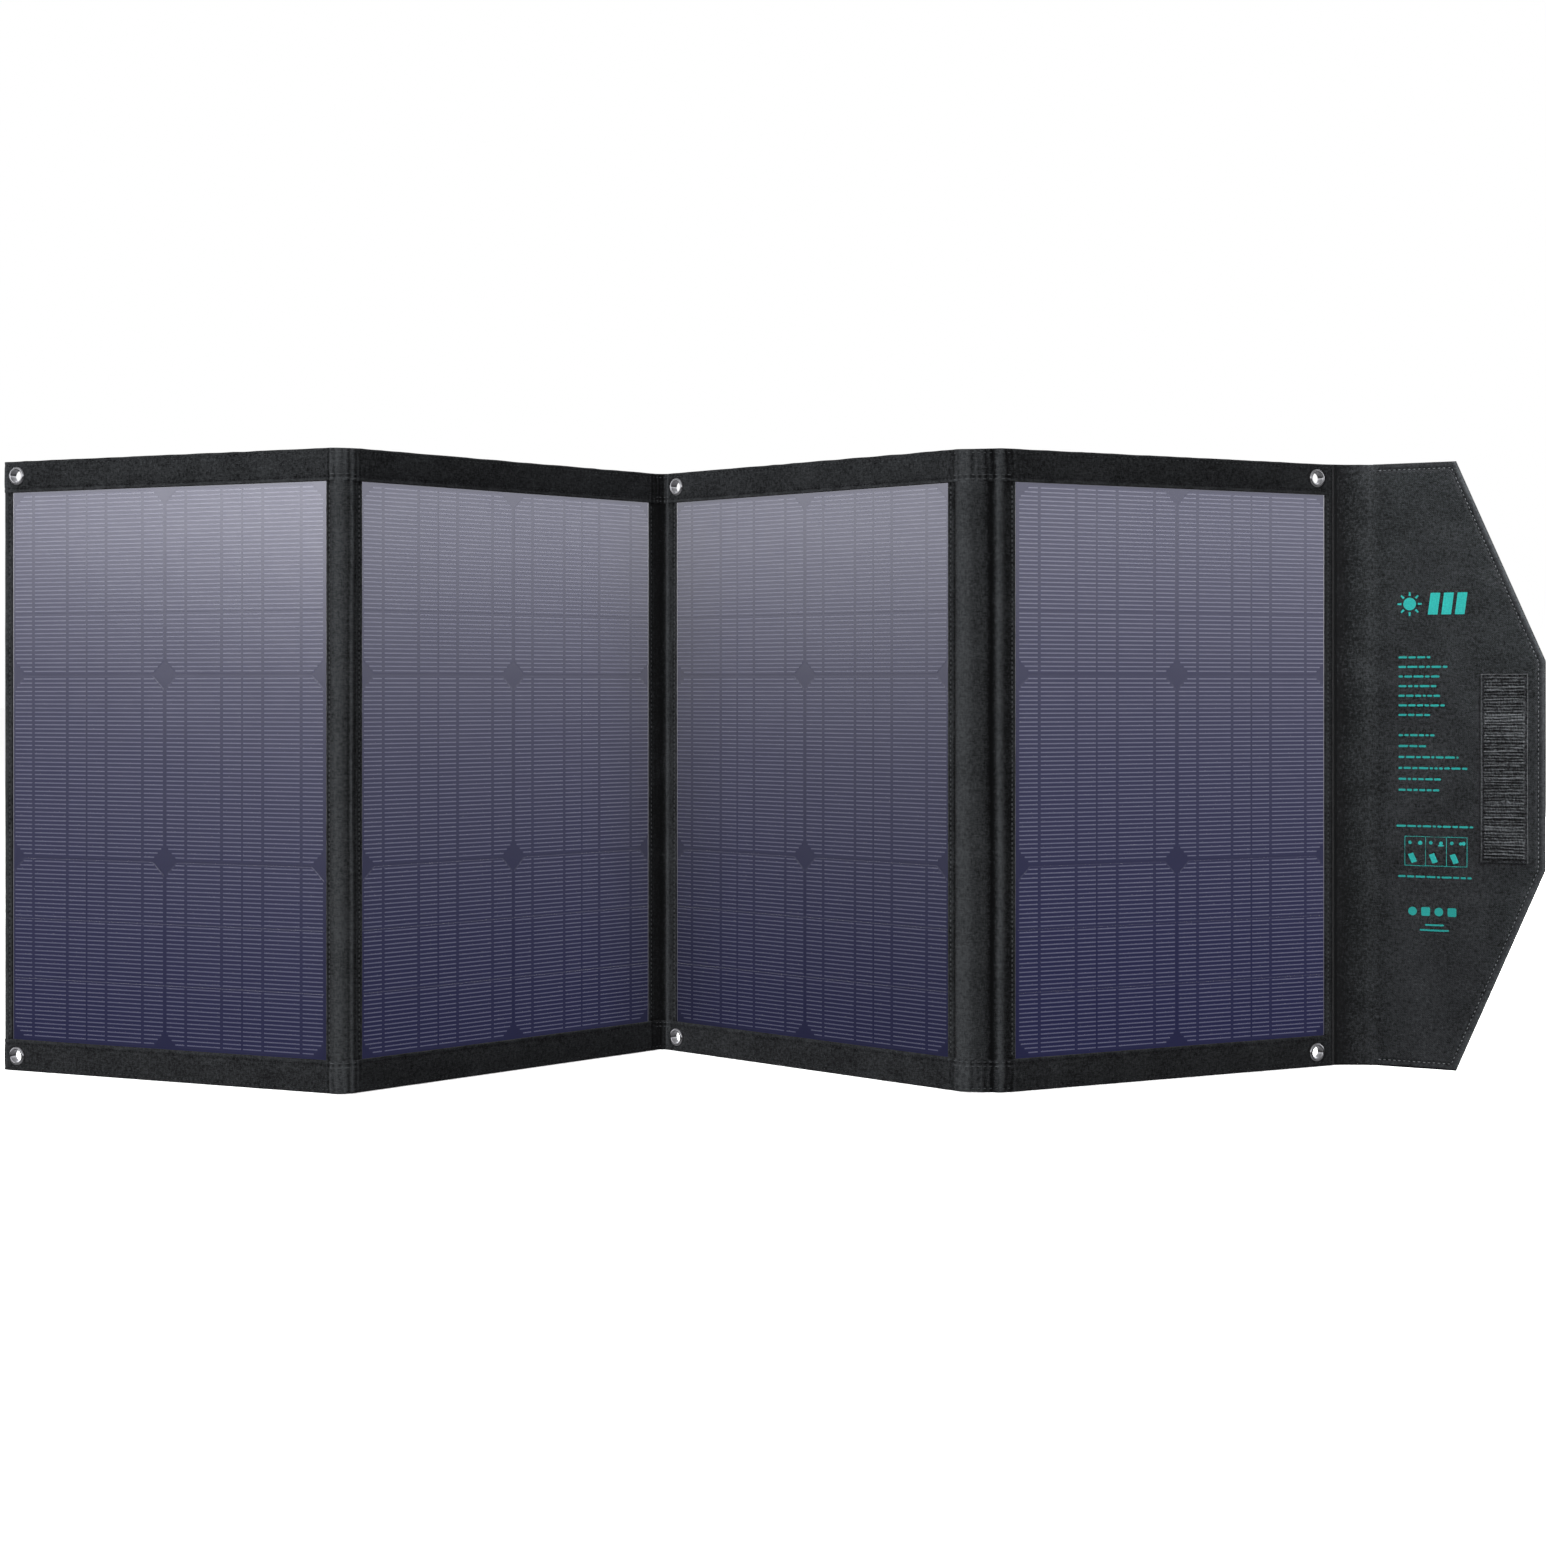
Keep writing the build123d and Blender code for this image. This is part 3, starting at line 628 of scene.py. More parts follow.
def make_smooth(mesh):
    mesh.polygons.foreach_set("use_smooth", [True] * len(mesh.polygons))


def sharpen(mesh, degrees):
    mesh.set_sharp_from_angle(angle=math.radians(degrees))


def loft_object(name, points, faces, uvs, material, smooth=True):
    """A mesh whose faces are turned outwards after it is built."""
    mesh = new_mesh(name, points, faces, uvs, validate=False)
    if smooth:
        make_smooth(mesh)
    bm = bmesh.new()
    bm.from_mesh(mesh)
    bmesh.ops.recalc_face_normals(bm, faces=bm.faces)
    bm.to_mesh(mesh)
    bm.free()
    return add_object(name, mesh, material)


def register(obj, slot, body, *nodes):
    if nodes:
        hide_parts(*nodes)
    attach(obj, body)


def loft_faces(base, rings, count, closed=False):
    """Quads between rings of `count` points; end caps, or a last step back to the first ring."""
    faces = []
    for i in range(rings if closed else rings - 1):
        here, there = base + i * count, base + (i + 1) % rings * count
        for q in range(count):
            r = (q + 1) % count
            faces.append((here + q, here + r, there + r, there + q))
    if not closed:
        last = base + (rings - 1) * count
        faces.append(tuple(base + q for q in range(count - 1, -1, -1)))
        faces.append(tuple(last + q for q in range(count)))
    return faces


# neighbour cell (row, column) in the padded mask, and the two corners of the shared edge
WALLS = [((0, 1), (0, 1), (0, 0)),      # below
         ((2, 1), (1, 0), (1, 1)),      # above
         ((1, 0), (0, 0), (1, 0)),      # at the start
         ((1, 2), (1, 1), (0, 1))]      # at the end


def shell(name, outer, inner, along, z, material, shade, mask=None, flip=False):
    """A closed shell from two grids of points; mask says which cells exist."""
    rows, columns = outer.shape[:2]
    if mask is None:
        mask = np.ones((rows - 1, columns - 1), bool)
    count = rows * columns
    index = np.arange(count).reshape(rows, columns)
    jj, ii = np.nonzero(mask)
    quad = [index[jj, ii], index[jj, ii + 1], index[jj + 1, ii + 1], index[jj + 1, ii]]
    walls = []
    padded = np.zeros((rows + 1, columns + 1), bool)
    padded[1:-1, 1:-1] = mask
    for j, i in zip(jj, ii):
        for (nj, ni), (pj, pi), (qj, qi) in WALLS:
            if not padded[j + nj, i + ni]:
                p, q = index[j + pj, i + pi], index[j + qj, i + qi]
                walls.append((p, q, q + count, p + count))
    faces = np.vstack([np.stack(quad, 1), np.stack(quad[::-1], 1) + count, np.array(walls)])
    if flip:
        faces = faces[:, ::-1]
    used = np.unique(faces)
    renumber = np.full(2 * count, -1)
    renumber[used] = np.arange(len(used))
    points = np.vstack([outer.reshape(-1, 3), inner.reshape(-1, 3)])[used]
    uv = (np.stack([along, z], -1) * UV_PER_MM).reshape(-1, 2)
    mesh = new_mesh(name, points, renumber[faces], np.vstack([uv, uv])[used], validate=True)
    make_smooth(mesh)
    sharpen(mesh, 42)
    mesh.update()
    obj = add_object(name, mesh, material)
    attribute = mesh.attributes.new("shade", "FLOAT", "POINT")
    values = np.concatenate([shade.ravel(), shade.ravel()])[used]
    attribute.data.foreach_set("value", values.astype(np.float32))
    return obj


def lines(*spans):
    """Grid lines from (start, end, step) spans."""
    out = []
    for start, end, step in spans:
        count = max(1, int(round((end - start) / step)))
        out += list(np.linspace(start, end, count + 1)[:-1])
    out.append(spans[-1][1])
    return np.array(out)


def mirrored(spans):
    """The same spans from the top edge down, in rising order."""
    return [(H - end, H - start, step) for start, end, step in reversed(spans)]


HEM_SPANS = [(0, 0.12, 0.12), (0.12, 0.4, 0.28), (0.4, 1.3, 0.45)]
LOW_SPANS = HEM_SPANS + [(1.3, BAND - 4.8, 1.25), (BAND - 4.8, BAND - 0.7, 0.6),
                         (BAND - 0.7, BAND, 0.18), (BAND, BAND + 1.2, 0.6)]
Z_LINES = lines(*LOW_SPANS, (BAND + 1.2, H - BAND - 1.2, 3.1), *mirrored(LOW_SPANS))


def punch(obj, places):
    """Cut the eyelet holes through a piece."""
    cutters = []
    for along, z in places:
        bm = bmesh.new()
        bmesh.ops.create_cone(bm, cap_ends=True, segments=40, radius1=4.5 * MM,
                              radius2=4.5 * MM, depth=20 * MM)
        mesh = bpy.data.meshes.new("cut")
        bm.to_mesh(mesh)
        bm.free()
        cutter = bpy.data.objects.new("cut", mesh)
        centre = place_one(along, z, 0.0)
        axis = Vector(place_one(along, z, 1.0) - centre).normalized()
        turn = axis.to_track_quat("Z", "Y").to_matrix().to_4x4()
        cutter.matrix_world = Matrix.Translation(Vector(centre)) @ turn
        bpy.context.scene.collection.objects.link(cutter)
        cutters.append(cutter)
    for cutter in cutters:
        modifier = obj.modifiers.new("cut", "BOOLEAN")
        modifier.operation = "DIFFERENCE"
        modifier.solver = "EXACT"
        modifier.object = cutter
    graph = bpy.context.evaluated_depsgraph_get()
    cut_mesh = bpy.data.meshes.new_from_object(obj.evaluated_get(graph), depsgraph=graph)
    obj.modifiers.clear()
    old_mesh = obj.data
    obj.data = cut_mesh
    bpy.data.meshes.remove(old_mesh)
    for cutter in cutters:
        bpy.data.objects.remove(cutter)
    sharpen(cut_mesh, 42)


# corner picks of a box: along, z, out
BOX_CORNERS = np.array([[0, 0, 0], [1, 0, 0], [1, 1, 0], [0, 1, 0],
                        [0, 0, 1], [1, 0, 1], [1, 1, 1], [0, 1, 1]])
BOX_FACES = np.array([[0, 3, 2, 1], [4, 5, 6, 7], [0, 1, 5, 4],
                      [1, 2, 6, 5], [2, 3, 7, 6], [3, 0, 4, 7]])


def boxes(name, items, material):
    """Small closed boxes. items: start and end along, start and end z, start and end out."""
    items = np.array(items, float)
    along, z, out = (items[:, [2 * i, 2 * i + 1]][:, BOX_CORNERS[:, i]] for i in range(3))
    faces = (BOX_FACES[None] + 8 * np.arange(len(items))[:, None, None]).reshape(-1, 4)
    uvs = np.stack([along.ravel(), z.ravel()], 1) * UV_PER_MM
    points = place(along, z, out).reshape(-1, 3)
    mesh = new_mesh(name, points, faces, uvs, validate=True)
    mesh.update()
    return add_object(name, mesh, material)


SPINDLE = [(-1.0, 0.25), (-0.72, 0.9), (0.0, 1.0), (0.72, 0.9), (1.0, 0.25)]   # place, radius
SPINDLE_SIDES = 6


def stitches(name, seams, material, size, fill=0.62, lift=0.12, surface=front, sign=1.0):
    """Sewn thread, one small closed spindle per stitch. seams: along, z, end along, end z."""
    points, faces, uvs = [], [], []
    for along0, z0, along1, z1 in seams:
        length = math.hypot(along1 - along0, z1 - z0)
        count = max(1, int(length / STITCH))
        run, climb = (along1 - along0) / length, (z1 - z0) / length
        half = 0.5 * fill * length / count
        for k in range(count):
            share = (k + 0.5) / count
            along, z = along0 + (along1 - along0) * share, z0 + (z1 - z0) * share
            skew = 0.10 * math.sin(12.9898 * along + 78.233 * z)
            faces += loft_faces(len(points), len(SPINDLE), SPINDLE_SIDES)
            for step, radius in SPINDLE:
                for m in range(SPINDLE_SIDES):
                    angle = 2 * math.pi * m / SPINDLE_SIDES
                    aside = size * radius * math.cos(angle) + skew * step * 0.5
                    rise = size * radius * math.sin(angle) * 0.8
                    points.append((along + run * half * step - climb * aside,
                                   z + climb * half * step + run * aside,
                                   rise - 0.30 * step * step))     # the ends dip into the cloth
                    uvs.append((along * UV_PER_MM, z * UV_PER_MM))
    along, z, rise = np.array(points).T
    out = surface(along, z) + lift + rise
    return loft_object(name, place(along, z, sign * out), faces, uvs, material)


def seams_through(points, shift):
    """Seam lines from point to point of a path, moved along the chain."""
    return [(a[0] + shift, a[1], b[0] + shift, b[1]) for a, b in zip(points, points[1:])]


def rounded_rect(x0, x1, z0, z1, radius, segments):
    points = []
    for centre_x, centre_z, turn in ((x1 - radius, z1 - radius, 0), (x0 + radius, z1 - radius, 90),
                                     (x0 + radius, z0 + radius, 180),
                                     (x1 - radius, z0 + radius, 270)):
        for q in range(segments + 1):
            angle = math.radians(turn + 90 * q / segments)
            points.append((centre_x + radius * math.cos(angle),
                           centre_z + radius * math.sin(angle)))
    return points


# ---------------------------------------------------------------- panel cloths
def panel_cloth(name, stations, surface, sign, mask=None):
    """Front (sign 1) or back (sign -1) cloth of a panel."""
    along, z = np.meshgrid(stations, Z_LINES)
    rise = surface(along, z)
    if sign > 0:
        inner_rise = np.maximum(rise - 0.8, 0) * np.clip(rise / 1.2, 0, 1)
        rise = np.maximum(rise, 0)
        # painted shade and highlight across the folds, on the front cloth only
        uv_along, painted_shading = along, painted_fold_shading(along)
    else:
        inner_rise = np.maximum(rise - 0.7, 0)
        uv_along, painted_shading = along + BACK_UV_SHIFT, 0.0
    inner_z = np.clip(z, 0.7, H - 0.7)
    inner_along = np.maximum(along, 0.7)
    outer = place(along, edge_wave(along, z), sign * rise)
    inner = place(inner_along, edge_wave(inner_along, inner_z), sign * inner_rise)
    return shell(name, outer, inner, uv_along, z, "canvas", hollow(surface, along, z, painted_shading),
                 mask=mask, flip=sign < 0)


def window_mask(stations, first, last):
    """The cells of the front grid that lie outside the window."""
    along, z = np.meshgrid(0.5 * (stations[1:] + stations[:-1]),
                           0.5 * (Z_LINES[1:] + Z_LINES[:-1]))
    return ~((along > first) & (along < last) & (z > BAND) & (z < H - BAND))


for n in (1, 2, 3, 4):
    # panel 1 starts at a free hem, the others at a fold
    hem = HEM_SPANS if n == 1 else []
    low = PANEL_START[n] if n == 1 else PANEL_START[n] + FOLD_LAP
    after_hem = 1.3 if n == 1 else low
    high = PANEL_START[n] + PANEL_WIDTH - FOLD_LAP
    first, last = WINDOW[n]
    front_lines = lines(*hem, (after_hem, first, 0.65), (first, first + 20, 1.1),
                        (first + 20, last - 20, 2.7), (last - 20, last, 1.1), (last, high, 0.65))
    back_lines = lines(*hem, (after_hem, low + 14, 1.1), (low + 14, high - 20, 3.2),
                       (high - 20, high, 1.1))
    obj = panel_cloth(f"front_cloth_{n}", front_lines, front, 1.0,
                      mask=window_mask(front_lines, first, last))
    if n in EYELET_PLACES:
        punch(obj, EYELET_PLACES[n])
    register(obj, "canvas", f"panel_{n}", f"front_frame_{n}", f"hem_bands_{n}")
    obj = panel_cloth(f"back_cloth_{n}", back_lines, back, -1.0)
    if n in EYELET_PLACES:
        punch(obj, EYELET_PLACES[n])
    register(obj, "canvas", f"panel_{n}", f"back_cover_{n}")


# ---------------------------------------------------------------- folds
# Each spine is two pieces that meet in its middle; each piece bends at one corner.
def fold_halves(fold):
    """Tag, start, end and corner index of a fold's two pieces."""
    start = PANEL_START[fold + 1] + PANEL_WIDTH - FOLD_LAP
    end = FLAP_START + 1.0 if fold == 3 else PANEL_START[fold + 2] + FOLD_LAP
    middle = FOLD_MID[fold]
    return (("a", start, middle, 2 * fold), ("b", middle, end, 2 * fold + 1))


def register_bend(obj, corner):
    ends = (tuple(place_one(STATION[corner + 1] + reach, 0.0, 0.0))
            for reach in (-BEND[corner], BEND[corner]))
    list(ends)
    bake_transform(obj)


def fold_piece(name, start, end, corner, material):
    along, z = np.meshgrid(lines((start, end, 0.75)), Z_LINES)
    waved = edge_wave(along, z)
    # the shade attribute holds painted crease shade, painted ridge highlight and the painted fold
    # shading
    obj = shell(name, place(along, waved, front(along, z)), place(along, waved, -back(along, z)),
                along, z, material, hollow(front, along, z, painted_fold_shading(along)))
    # front and back meet on one line at the top and bottom: weld them there
    bm = bmesh.new()
    bm.from_mesh(obj.data)
    bmesh.ops.remove_doubles(bm, verts=bm.verts, dist=1e-6)
    bmesh.ops.dissolve_degenerate(bm, dist=1e-7, edges=bm.edges)
    bm.to_mesh(obj.data)
    bm.free()
    sharpen(obj.data, 50)
    register_bend(obj, corner)
    return obj


for fold in range(4):
    spine = BODY[2 * fold + 1]
    material = "flap" if spine == "flap_spine" else "canvas"
    pieces = [fold_piece(f"{spine}_cloth_{tag}", start, end, corner, material)
              for tag, start, end, corner in fold_halves(fold)]
    for piece in pieces:
        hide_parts(f"{spine}_sleeve")

# ---------------------------------------------------------------- cells and film
CELL, CELL_GAP = 125.0, 1.5
CELL_PITCH = CELL + CELL_GAP
CELL_ROWS, CELL_COLUMNS = 3, 2
CELL_BOTTOM = BAND + (H - 2 * BAND - CELL_ROWS * CELL - (CELL_ROWS - 1) * CELL_GAP) / 2
CHAMFER = 9.0                   # cut corners of a cell
SCRIBE = 0.49                   # share of a cell's width at which it is split
SCRIBE_HALF = 0.22              # half the gap between the parts of a cell
BUSBARS = (0.13, 0.36, 0.62, 0.86)      # shares of a cell's width
CELL_CUTS = {2: (0.0, 1 / 3, 1.0), 1: (0.0, 1.0), 0: (0.0, 1 / 3, 2 / 3, 1.0)}   # by row, from z 0
CELL_LAYERS = ((1.00, 0.0), (1.075, 0.0), (1.095, 0.12))     # out, inset
FINGER_PITCH = 2.88
FINGER_MARGIN = 0.6             # bare strip at a cell's side


def strip_outline(x0, x1, z0, z1, at_left, at_right, at_bottom, at_top):
    """Outline of one part of a cell, chamfered at the cell's own corners."""
    c = CHAMFER
    outline = [(x0 + c, z0)] if at_left and at_bottom else [(x0, z0)]
    outline += [(x1 - c, z0), (x1, z0 + c)] if at_right and at_bottom else [(x1, z0)]
    outline += [(x1, z1 - c), (x1 - c, z1)] if at_right and at_top else [(x1, z1)]
    outline += [(x0 + c, z1), (x0, z1 - c)] if at_left and at_top else [(x0, z1)]
    if at_left and at_bottom:
        outline += [(x0, z0 + c)]
    return outline


def cell_outlines(left, bottom, cuts):
    outlines = []
    for low, high in zip(cuts, cuts[1:]):
        z0 = bottom + low * CELL + (SCRIBE_HALF if low > 0 else 0)
        z1 = bottom + high * CELL - (SCRIBE_HALF if high < 1 else 0)
        for start, end in ((0.0, SCRIBE), (SCRIBE, 1.0)):
            x0 = left + start * CELL + (SCRIBE_HALF if start > 0 else 0)
            x1 = left + end * CELL - (SCRIBE_HALF if end < 1 else 0)
            outlines.append(strip_outline(x0, x1, z0, z1, start == 0, end == 1,
                                          low == 0, high == 1))
    return outlines


def cell_object(name, outlines):
    points, faces = [], []
    for outline in outlines:
        count = len(outline)
        faces += loft_faces(len(points), len(CELL_LAYERS), count)
        centre_x = sum(p[0] for p in outline) / count
        centre_z = sum(p[1] for p in outline) / count
        for out, inset in CELL_LAYERS:
            points += [(x + (inset if x < centre_x else -inset),
                        z + (inset if z < centre_z else -inset), out) for x, z in outline]
    points = np.array(points)
    return loft_object(name, place(*points.T), faces, points[:, :2] * UV_PER_MM, "cells",
                       smooth=False)


def finger_boxes(left, bottom, cuts):
    """Pale lines across a cell, broken at the ribbons and at the scribe line."""
    right = left + CELL
    breaks = [(left + share * CELL - 1.15, left + share * CELL + 1.15) for share in BUSBARS]
    breaks.append((left + SCRIBE * CELL - 0.75, left + SCRIBE * CELL + 0.75))
    breaks += [(left + FINGER_MARGIN - 9, left + FINGER_MARGIN), (right - FINGER_MARGIN, right + 9)]
    breaks.sort()
    items = []
    for low, high in zip(cuts, cuts[1:]):
        z0, z1 = bottom + low * CELL + 1.9, bottom + high * CELL - 1.9
        count = int(round((z1 - z0) / FINGER_PITCH))
        for q in range(count + 1):
            z = z0 + (z1 - z0) * q / count
            corner = max(0.0, *(CHAMFER - abs(z - edge) for edge in (bottom, bottom + CELL)))
            inset = max(FINGER_MARGIN, corner + 0.8)
            for before, after in zip(breaks, breaks[1:]):
                start, end = max(before[1], left + inset), min(after[0], right - inset)
                if end - start > 0.8:
                    items.append((start, end, z - 0.40, z + 0.40, 1.090, 1.115))
    return items


def ribbon_boxes(left, bottom):
    return [(left + share * CELL - 0.6, left + share * CELL + 0.6, bottom + 0.5,
             bottom + CELL - 0.5, 1.09, 1.108) for share in BUSBARS]


def film_edge_boxes(first, last):
    """Pale strips along the two upright edges of a window: a painted highlight on the film's edge.
    """
    inset, width = 0.15, 0.55
    z0, z1 = BAND + 0.3, H - BAND - 0.3
    return [(first + inset, first + inset + width, z0, z1, 1.0, 1.16),
            (last - inset - width, last - inset, z0, z1, 1.0, 1.16)]


for n in (1, 2, 3, 4):
    body, start = f"panel_{n}", PANEL_START[n]
    sheet = (start + BORDER - 2.2, start + PANEL_WIDTH - BORDER + 2.4,
             BAND - 1.5, H - BAND + 1.5, 0.60, 1.05)
    obj = boxes(f"laminate_sheet_{n}", [sheet], "sheet")
    register(obj, "film", body, f"clear_film_{n}")
    cells_width = CELL_COLUMNS * CELL + CELL_GAP
    cells_start = start + BORDER + (PANEL_WIDTH - 2 * BORDER - cells_width) / 2
    outlines, ribbons, fingers = [], [], []
    for row in range(CELL_ROWS):
        for column in range(CELL_COLUMNS):
            left, bottom = cells_start + column * CELL_PITCH, CELL_BOTTOM + row * CELL_PITCH
            outlines += cell_outlines(left, bottom, CELL_CUTS[row])
            ribbons += ribbon_boxes(left, bottom)
            fingers += finger_boxes(left, bottom, CELL_CUTS[row])
    obj = cell_object(f"cell_strips_{n}", outlines)
    register(obj, "silicon", body, f"solar_cells_{n}")
    obj = boxes(f"bus_ribbons_{n}", ribbons, "ribbon")
    register(obj, "tinned_copper", body, f"cell_ribbons_{n}")
    register(boxes(f"finger_lines_{n}", fingers, "finger"), "tinned_copper", body)
    # pale strips painting the highlight on the film's edges
    register(boxes(f"film_edges_{n}", film_edge_boxes(*WINDOW[n]), "film_edge"), "film", body)

# ---------------------------------------------------------------- eyelets
# rolled ring with a washer behind: radius, out
EYELET_PROFILE = [
    (4.0, -2.2), (4.0, 2.0), (4.08, 2.55), (4.3, 2.95), (4.7, 3.18), (5.15, 3.22), (5.6, 3.1),
    (5.98, 2.85), (6.2, 2.5), (6.2, 2.3), (5.7, 2.22), (4.65, 2.22), (4.65, -2.02), (6.0, -2.02),
    (6.2, -2.12), (6.15, -2.35), (5.7, -2.55), (5.0, -2.66), (4.4, -2.6), (4.12, -2.45)]
EYELET_SEGMENTS = 44


def eyelet_rings(name, places):
    rows, faces = [], []
    for along, z in places:
        faces += loft_faces(len(rows), len(EYELET_PROFILE), EYELET_SEGMENTS, closed=True)
        for radius, out in EYELET_PROFILE:
            for q in range(EYELET_SEGMENTS):
                angle = 2 * math.pi * q / EYELET_SEGMENTS
                rows.append((along, z, radius * math.cos(angle), radius * math.sin(angle), out))
    along, z, aside, rise, out = np.array(rows).T
    # the ring is rigid: take the tangent at its middle
    tangent = place(along + 0.5, z, 0.0) - place(along - 0.5, z, 0.0)
    tangent = tangent / np.linalg.norm(tangent, axis=1)[:, None]
    points = place(along, z, out) + tangent * aside[:, None] * MM
    points[:, 2] = (z + rise) * MM
    uvs = np.stack([along + aside, z + rise], 1) * UV_PER_MM
    obj = loft_object(name, points, faces, uvs, "nickel")
    sharpen(obj.data, 50)
    return obj


for n, places in EYELET_PLACES.items():
    register(eyelet_rings(f"eyelet_rings_{n}", places), "nickel", f"panel_{n}", f"eyelets_{n}")


# ---------------------------------------------------------------- stitching
def both_hems(start, end, *heights):
    """Level seams at each height from the bottom edge and from the top edge."""
    return [(start, level, end, level) for z in heights for level in (z, H - z)]


def back_seams(n, low, high):
    """Seam lines of a back cloth; they stop short of the eyelets."""
    if n not in EYELET_ALONG:
        seams, end = both_hems(low, high, BACK_SEAM), 12.5
    else:
        before, after = EYELET_ALONG[n] - 7.5, EYELET_ALONG[n] + 7.5
        seams, end = [], 18.5
        for z in (BACK_SEAM, H - BACK_SEAM):
            if before > low + 2:
                seams.append((low, z, before, z))
            if high > after + 1.5:
                seams.append((after, z, high, z))
    return seams + [(x, end, x, H - end) for x in (low + 3.0, high - 3.0)]


for n in (1, 2, 3, 4):
    low = PANEL_START[n] + FOLD_LAP
    high = PANEL_START[n] + PANEL_WIDTH - FOLD_LAP
    first, last = WINDOW[n]
    band_end = high if n != 4 else FOLD_START[3] - 11.0      # the binding strip starts here
    seams = [(x, BAND + 2, x, H - BAND - 2) for x in (first - WINDOW_SEAM, last + WINDOW_SEAM)]
    for obj in (
            stitches(f"side_stitching_{n}", seams, "thread", size=0.36, fill=0.66),
            stitches(f"band_stitching_{n}", both_hems(low, band_end, BAND_SEAM), "thread_dark",
                     size=0.40),
            stitches(f"hem_stitching_{n}", both_hems(low, high, HEM_SEAM), "thread_dim",
                     size=0.27),
            stitches(f"back_stitching_{n}", back_seams(n, low, high), "thread", size=0.30,
                     surface=back, sign=-1.0)):
        register(obj, "canvas", f"panel_{n}")

for fold in range(3):
    for tag, start, end, corner in fold_halves(fold):
        seams = both_hems(start, end, BAND - 1.6, BAND - 4.4, HEM_SEAM)
        # the upper and lower lines of each pair keep the order low, low, high, high
        seams = [seams[i] for i in (0, 2, 1, 3, 4, 5)]
        obj = stitches(f"{BODY[2 * fold + 1]}_stitching_{tag}", seams, "thread", size=0.24)
        register_bend(obj, corner)

# ---------------------------------------------------------------- closing flap
# On the flap, x is the distance from its fold.
FLAP_SEAM = 4.6                 # stitch line, from the free edge
LOW_SIDE = math.hypot(FLAP_TAPER, FLAP_LOW)
HIGH_SIDE = math.hypot(FLAP_TAPER, FLAP_TOP)


def slant_low(z):
    """x of the slanting edge under the middle part, at height z."""
    return FLAP_END_WIDTH + FLAP_TAPER * z / FLAP_LOW


def slant_high(z):
    return FLAP_END_WIDTH + FLAP_TAPER * (H - z) / FLAP_TOP


def flap_edge(z):
    """Width of the flap at height z."""
    return np.minimum(np.minimum(slant_low(z), slant_high(z)), FLAP_WIDTH)


def flap_inset(x, z):
    """Distance from the nearest free edge of the flap."""
    to_low = (slant_low(z) - x) * FLAP_LOW / LOW_SIDE
    to_high = (slant_high(z) - x) * FLAP_TOP / HIGH_SIDE
    return np.minimum(np.minimum(np.minimum(to_low, to_high), FLAP_WIDTH - x), from_hem(z))


def flap_rise(x, z, sign):
    """Height of the flap's front (sign 1) or back (sign -1) cloth over its middle plane."""
    inset = flap_inset(x, z)
    rise = 1.55 + 0.35 * drift(x + 40 * sign, z * 0.8, 30, 100) * np.clip(inset / 14, 0, 1)
    rise = rise + 0.08 * drift(x, z, 9, 30)
    rise = rise + bumps(inset, [(0.22, 2.2, 1.4), (-0.42, FLAP_SEAM, 0.8), (0.10, 6.4, 1.2)])
    rise = rise + 0.05 * pucker(x + z) * bump(inset, FLAP_SEAM, 1.6)
    # run into the spine's own height at the fold
    near_fold = 1 - ease(x, 0.8, 12.0)
    spine = (front if sign > 0 else back)(x + FLAP_START, z)
    return rise * (1 - near_fold) * rounded(inset, 1.4) + spine * near_fold


def on_flap_front(along, z):
    return flap_rise(along - FLAP_START, z, 1)


def on_flap_back(along, z):
    return flap_rise(along - FLAP_START, z, -1)


FLAP_SIDES = ((1, "front", on_flap_front), (-1, "back", on_flap_back))
# grid shares across the flap: even at first, closing up towards the free edge
FLAP_SHARES = np.concatenate([np.linspace(0, 1, 44)[:-1] * 0.90,
                              0.90 + 0.10 * (1 - (1 - np.linspace(0, 1, 16)) ** 2.2)])
FLAP_HEM = [(0, 0.12, 0.12), (0.12, 0.5, 0.38), (0.5, 1.4, 0.45), (1.4, 8, 1.1)]
FLAP_Z_LINES = lines(*FLAP_HEM, (8, FLAP_LOW - 6, 3.0), (FLAP_LOW - 6, FLAP_LOW + 6, 1.0),
                     (FLAP_LOW + 6, FLAP_HIGH - 6, 3.0), (FLAP_HIGH - 6, FLAP_HIGH + 6, 1.0),
                     (FLAP_HIGH + 6, H - 8, 3.0), *mirrored(FLAP_HEM))
FLAP_GRID_START = 1.0


def flap_cloth(sign, side, surface):
    width = flap_edge(FLAP_Z_LINES)[:, None] - FLAP_GRID_START
    x = FLAP_GRID_START + FLAP_SHARES[None, :] * width
    z = np.repeat(FLAP_Z_LINES[:, None], len(FLAP_SHARES), 1)
    along = x + FLAP_START
    rise = flap_rise(x, z, sign)
    inner_x = x - np.clip(0.8 - flap_inset(x, z), 0, 0.8)
    inner = place(inner_x + FLAP_START, np.clip(z, 0.7, H - 0.7),
                  sign * np.clip(rise - 0.75, 0, 0.72))
    # painted crease shade and ridge highlight, and on the front the painted fold shading
    shade = hollow(surface, along, z)
    if sign > 0:
        shade = shade + painted_fold_shading(along)
    uv_along = along + (0 if sign > 0 else BACK_UV_SHIFT)
    return shell(f"flap_{side}_cloth", place(along, z, sign * rise), inner, uv_along, z, "flap",
                 shade, flip=sign < 0)


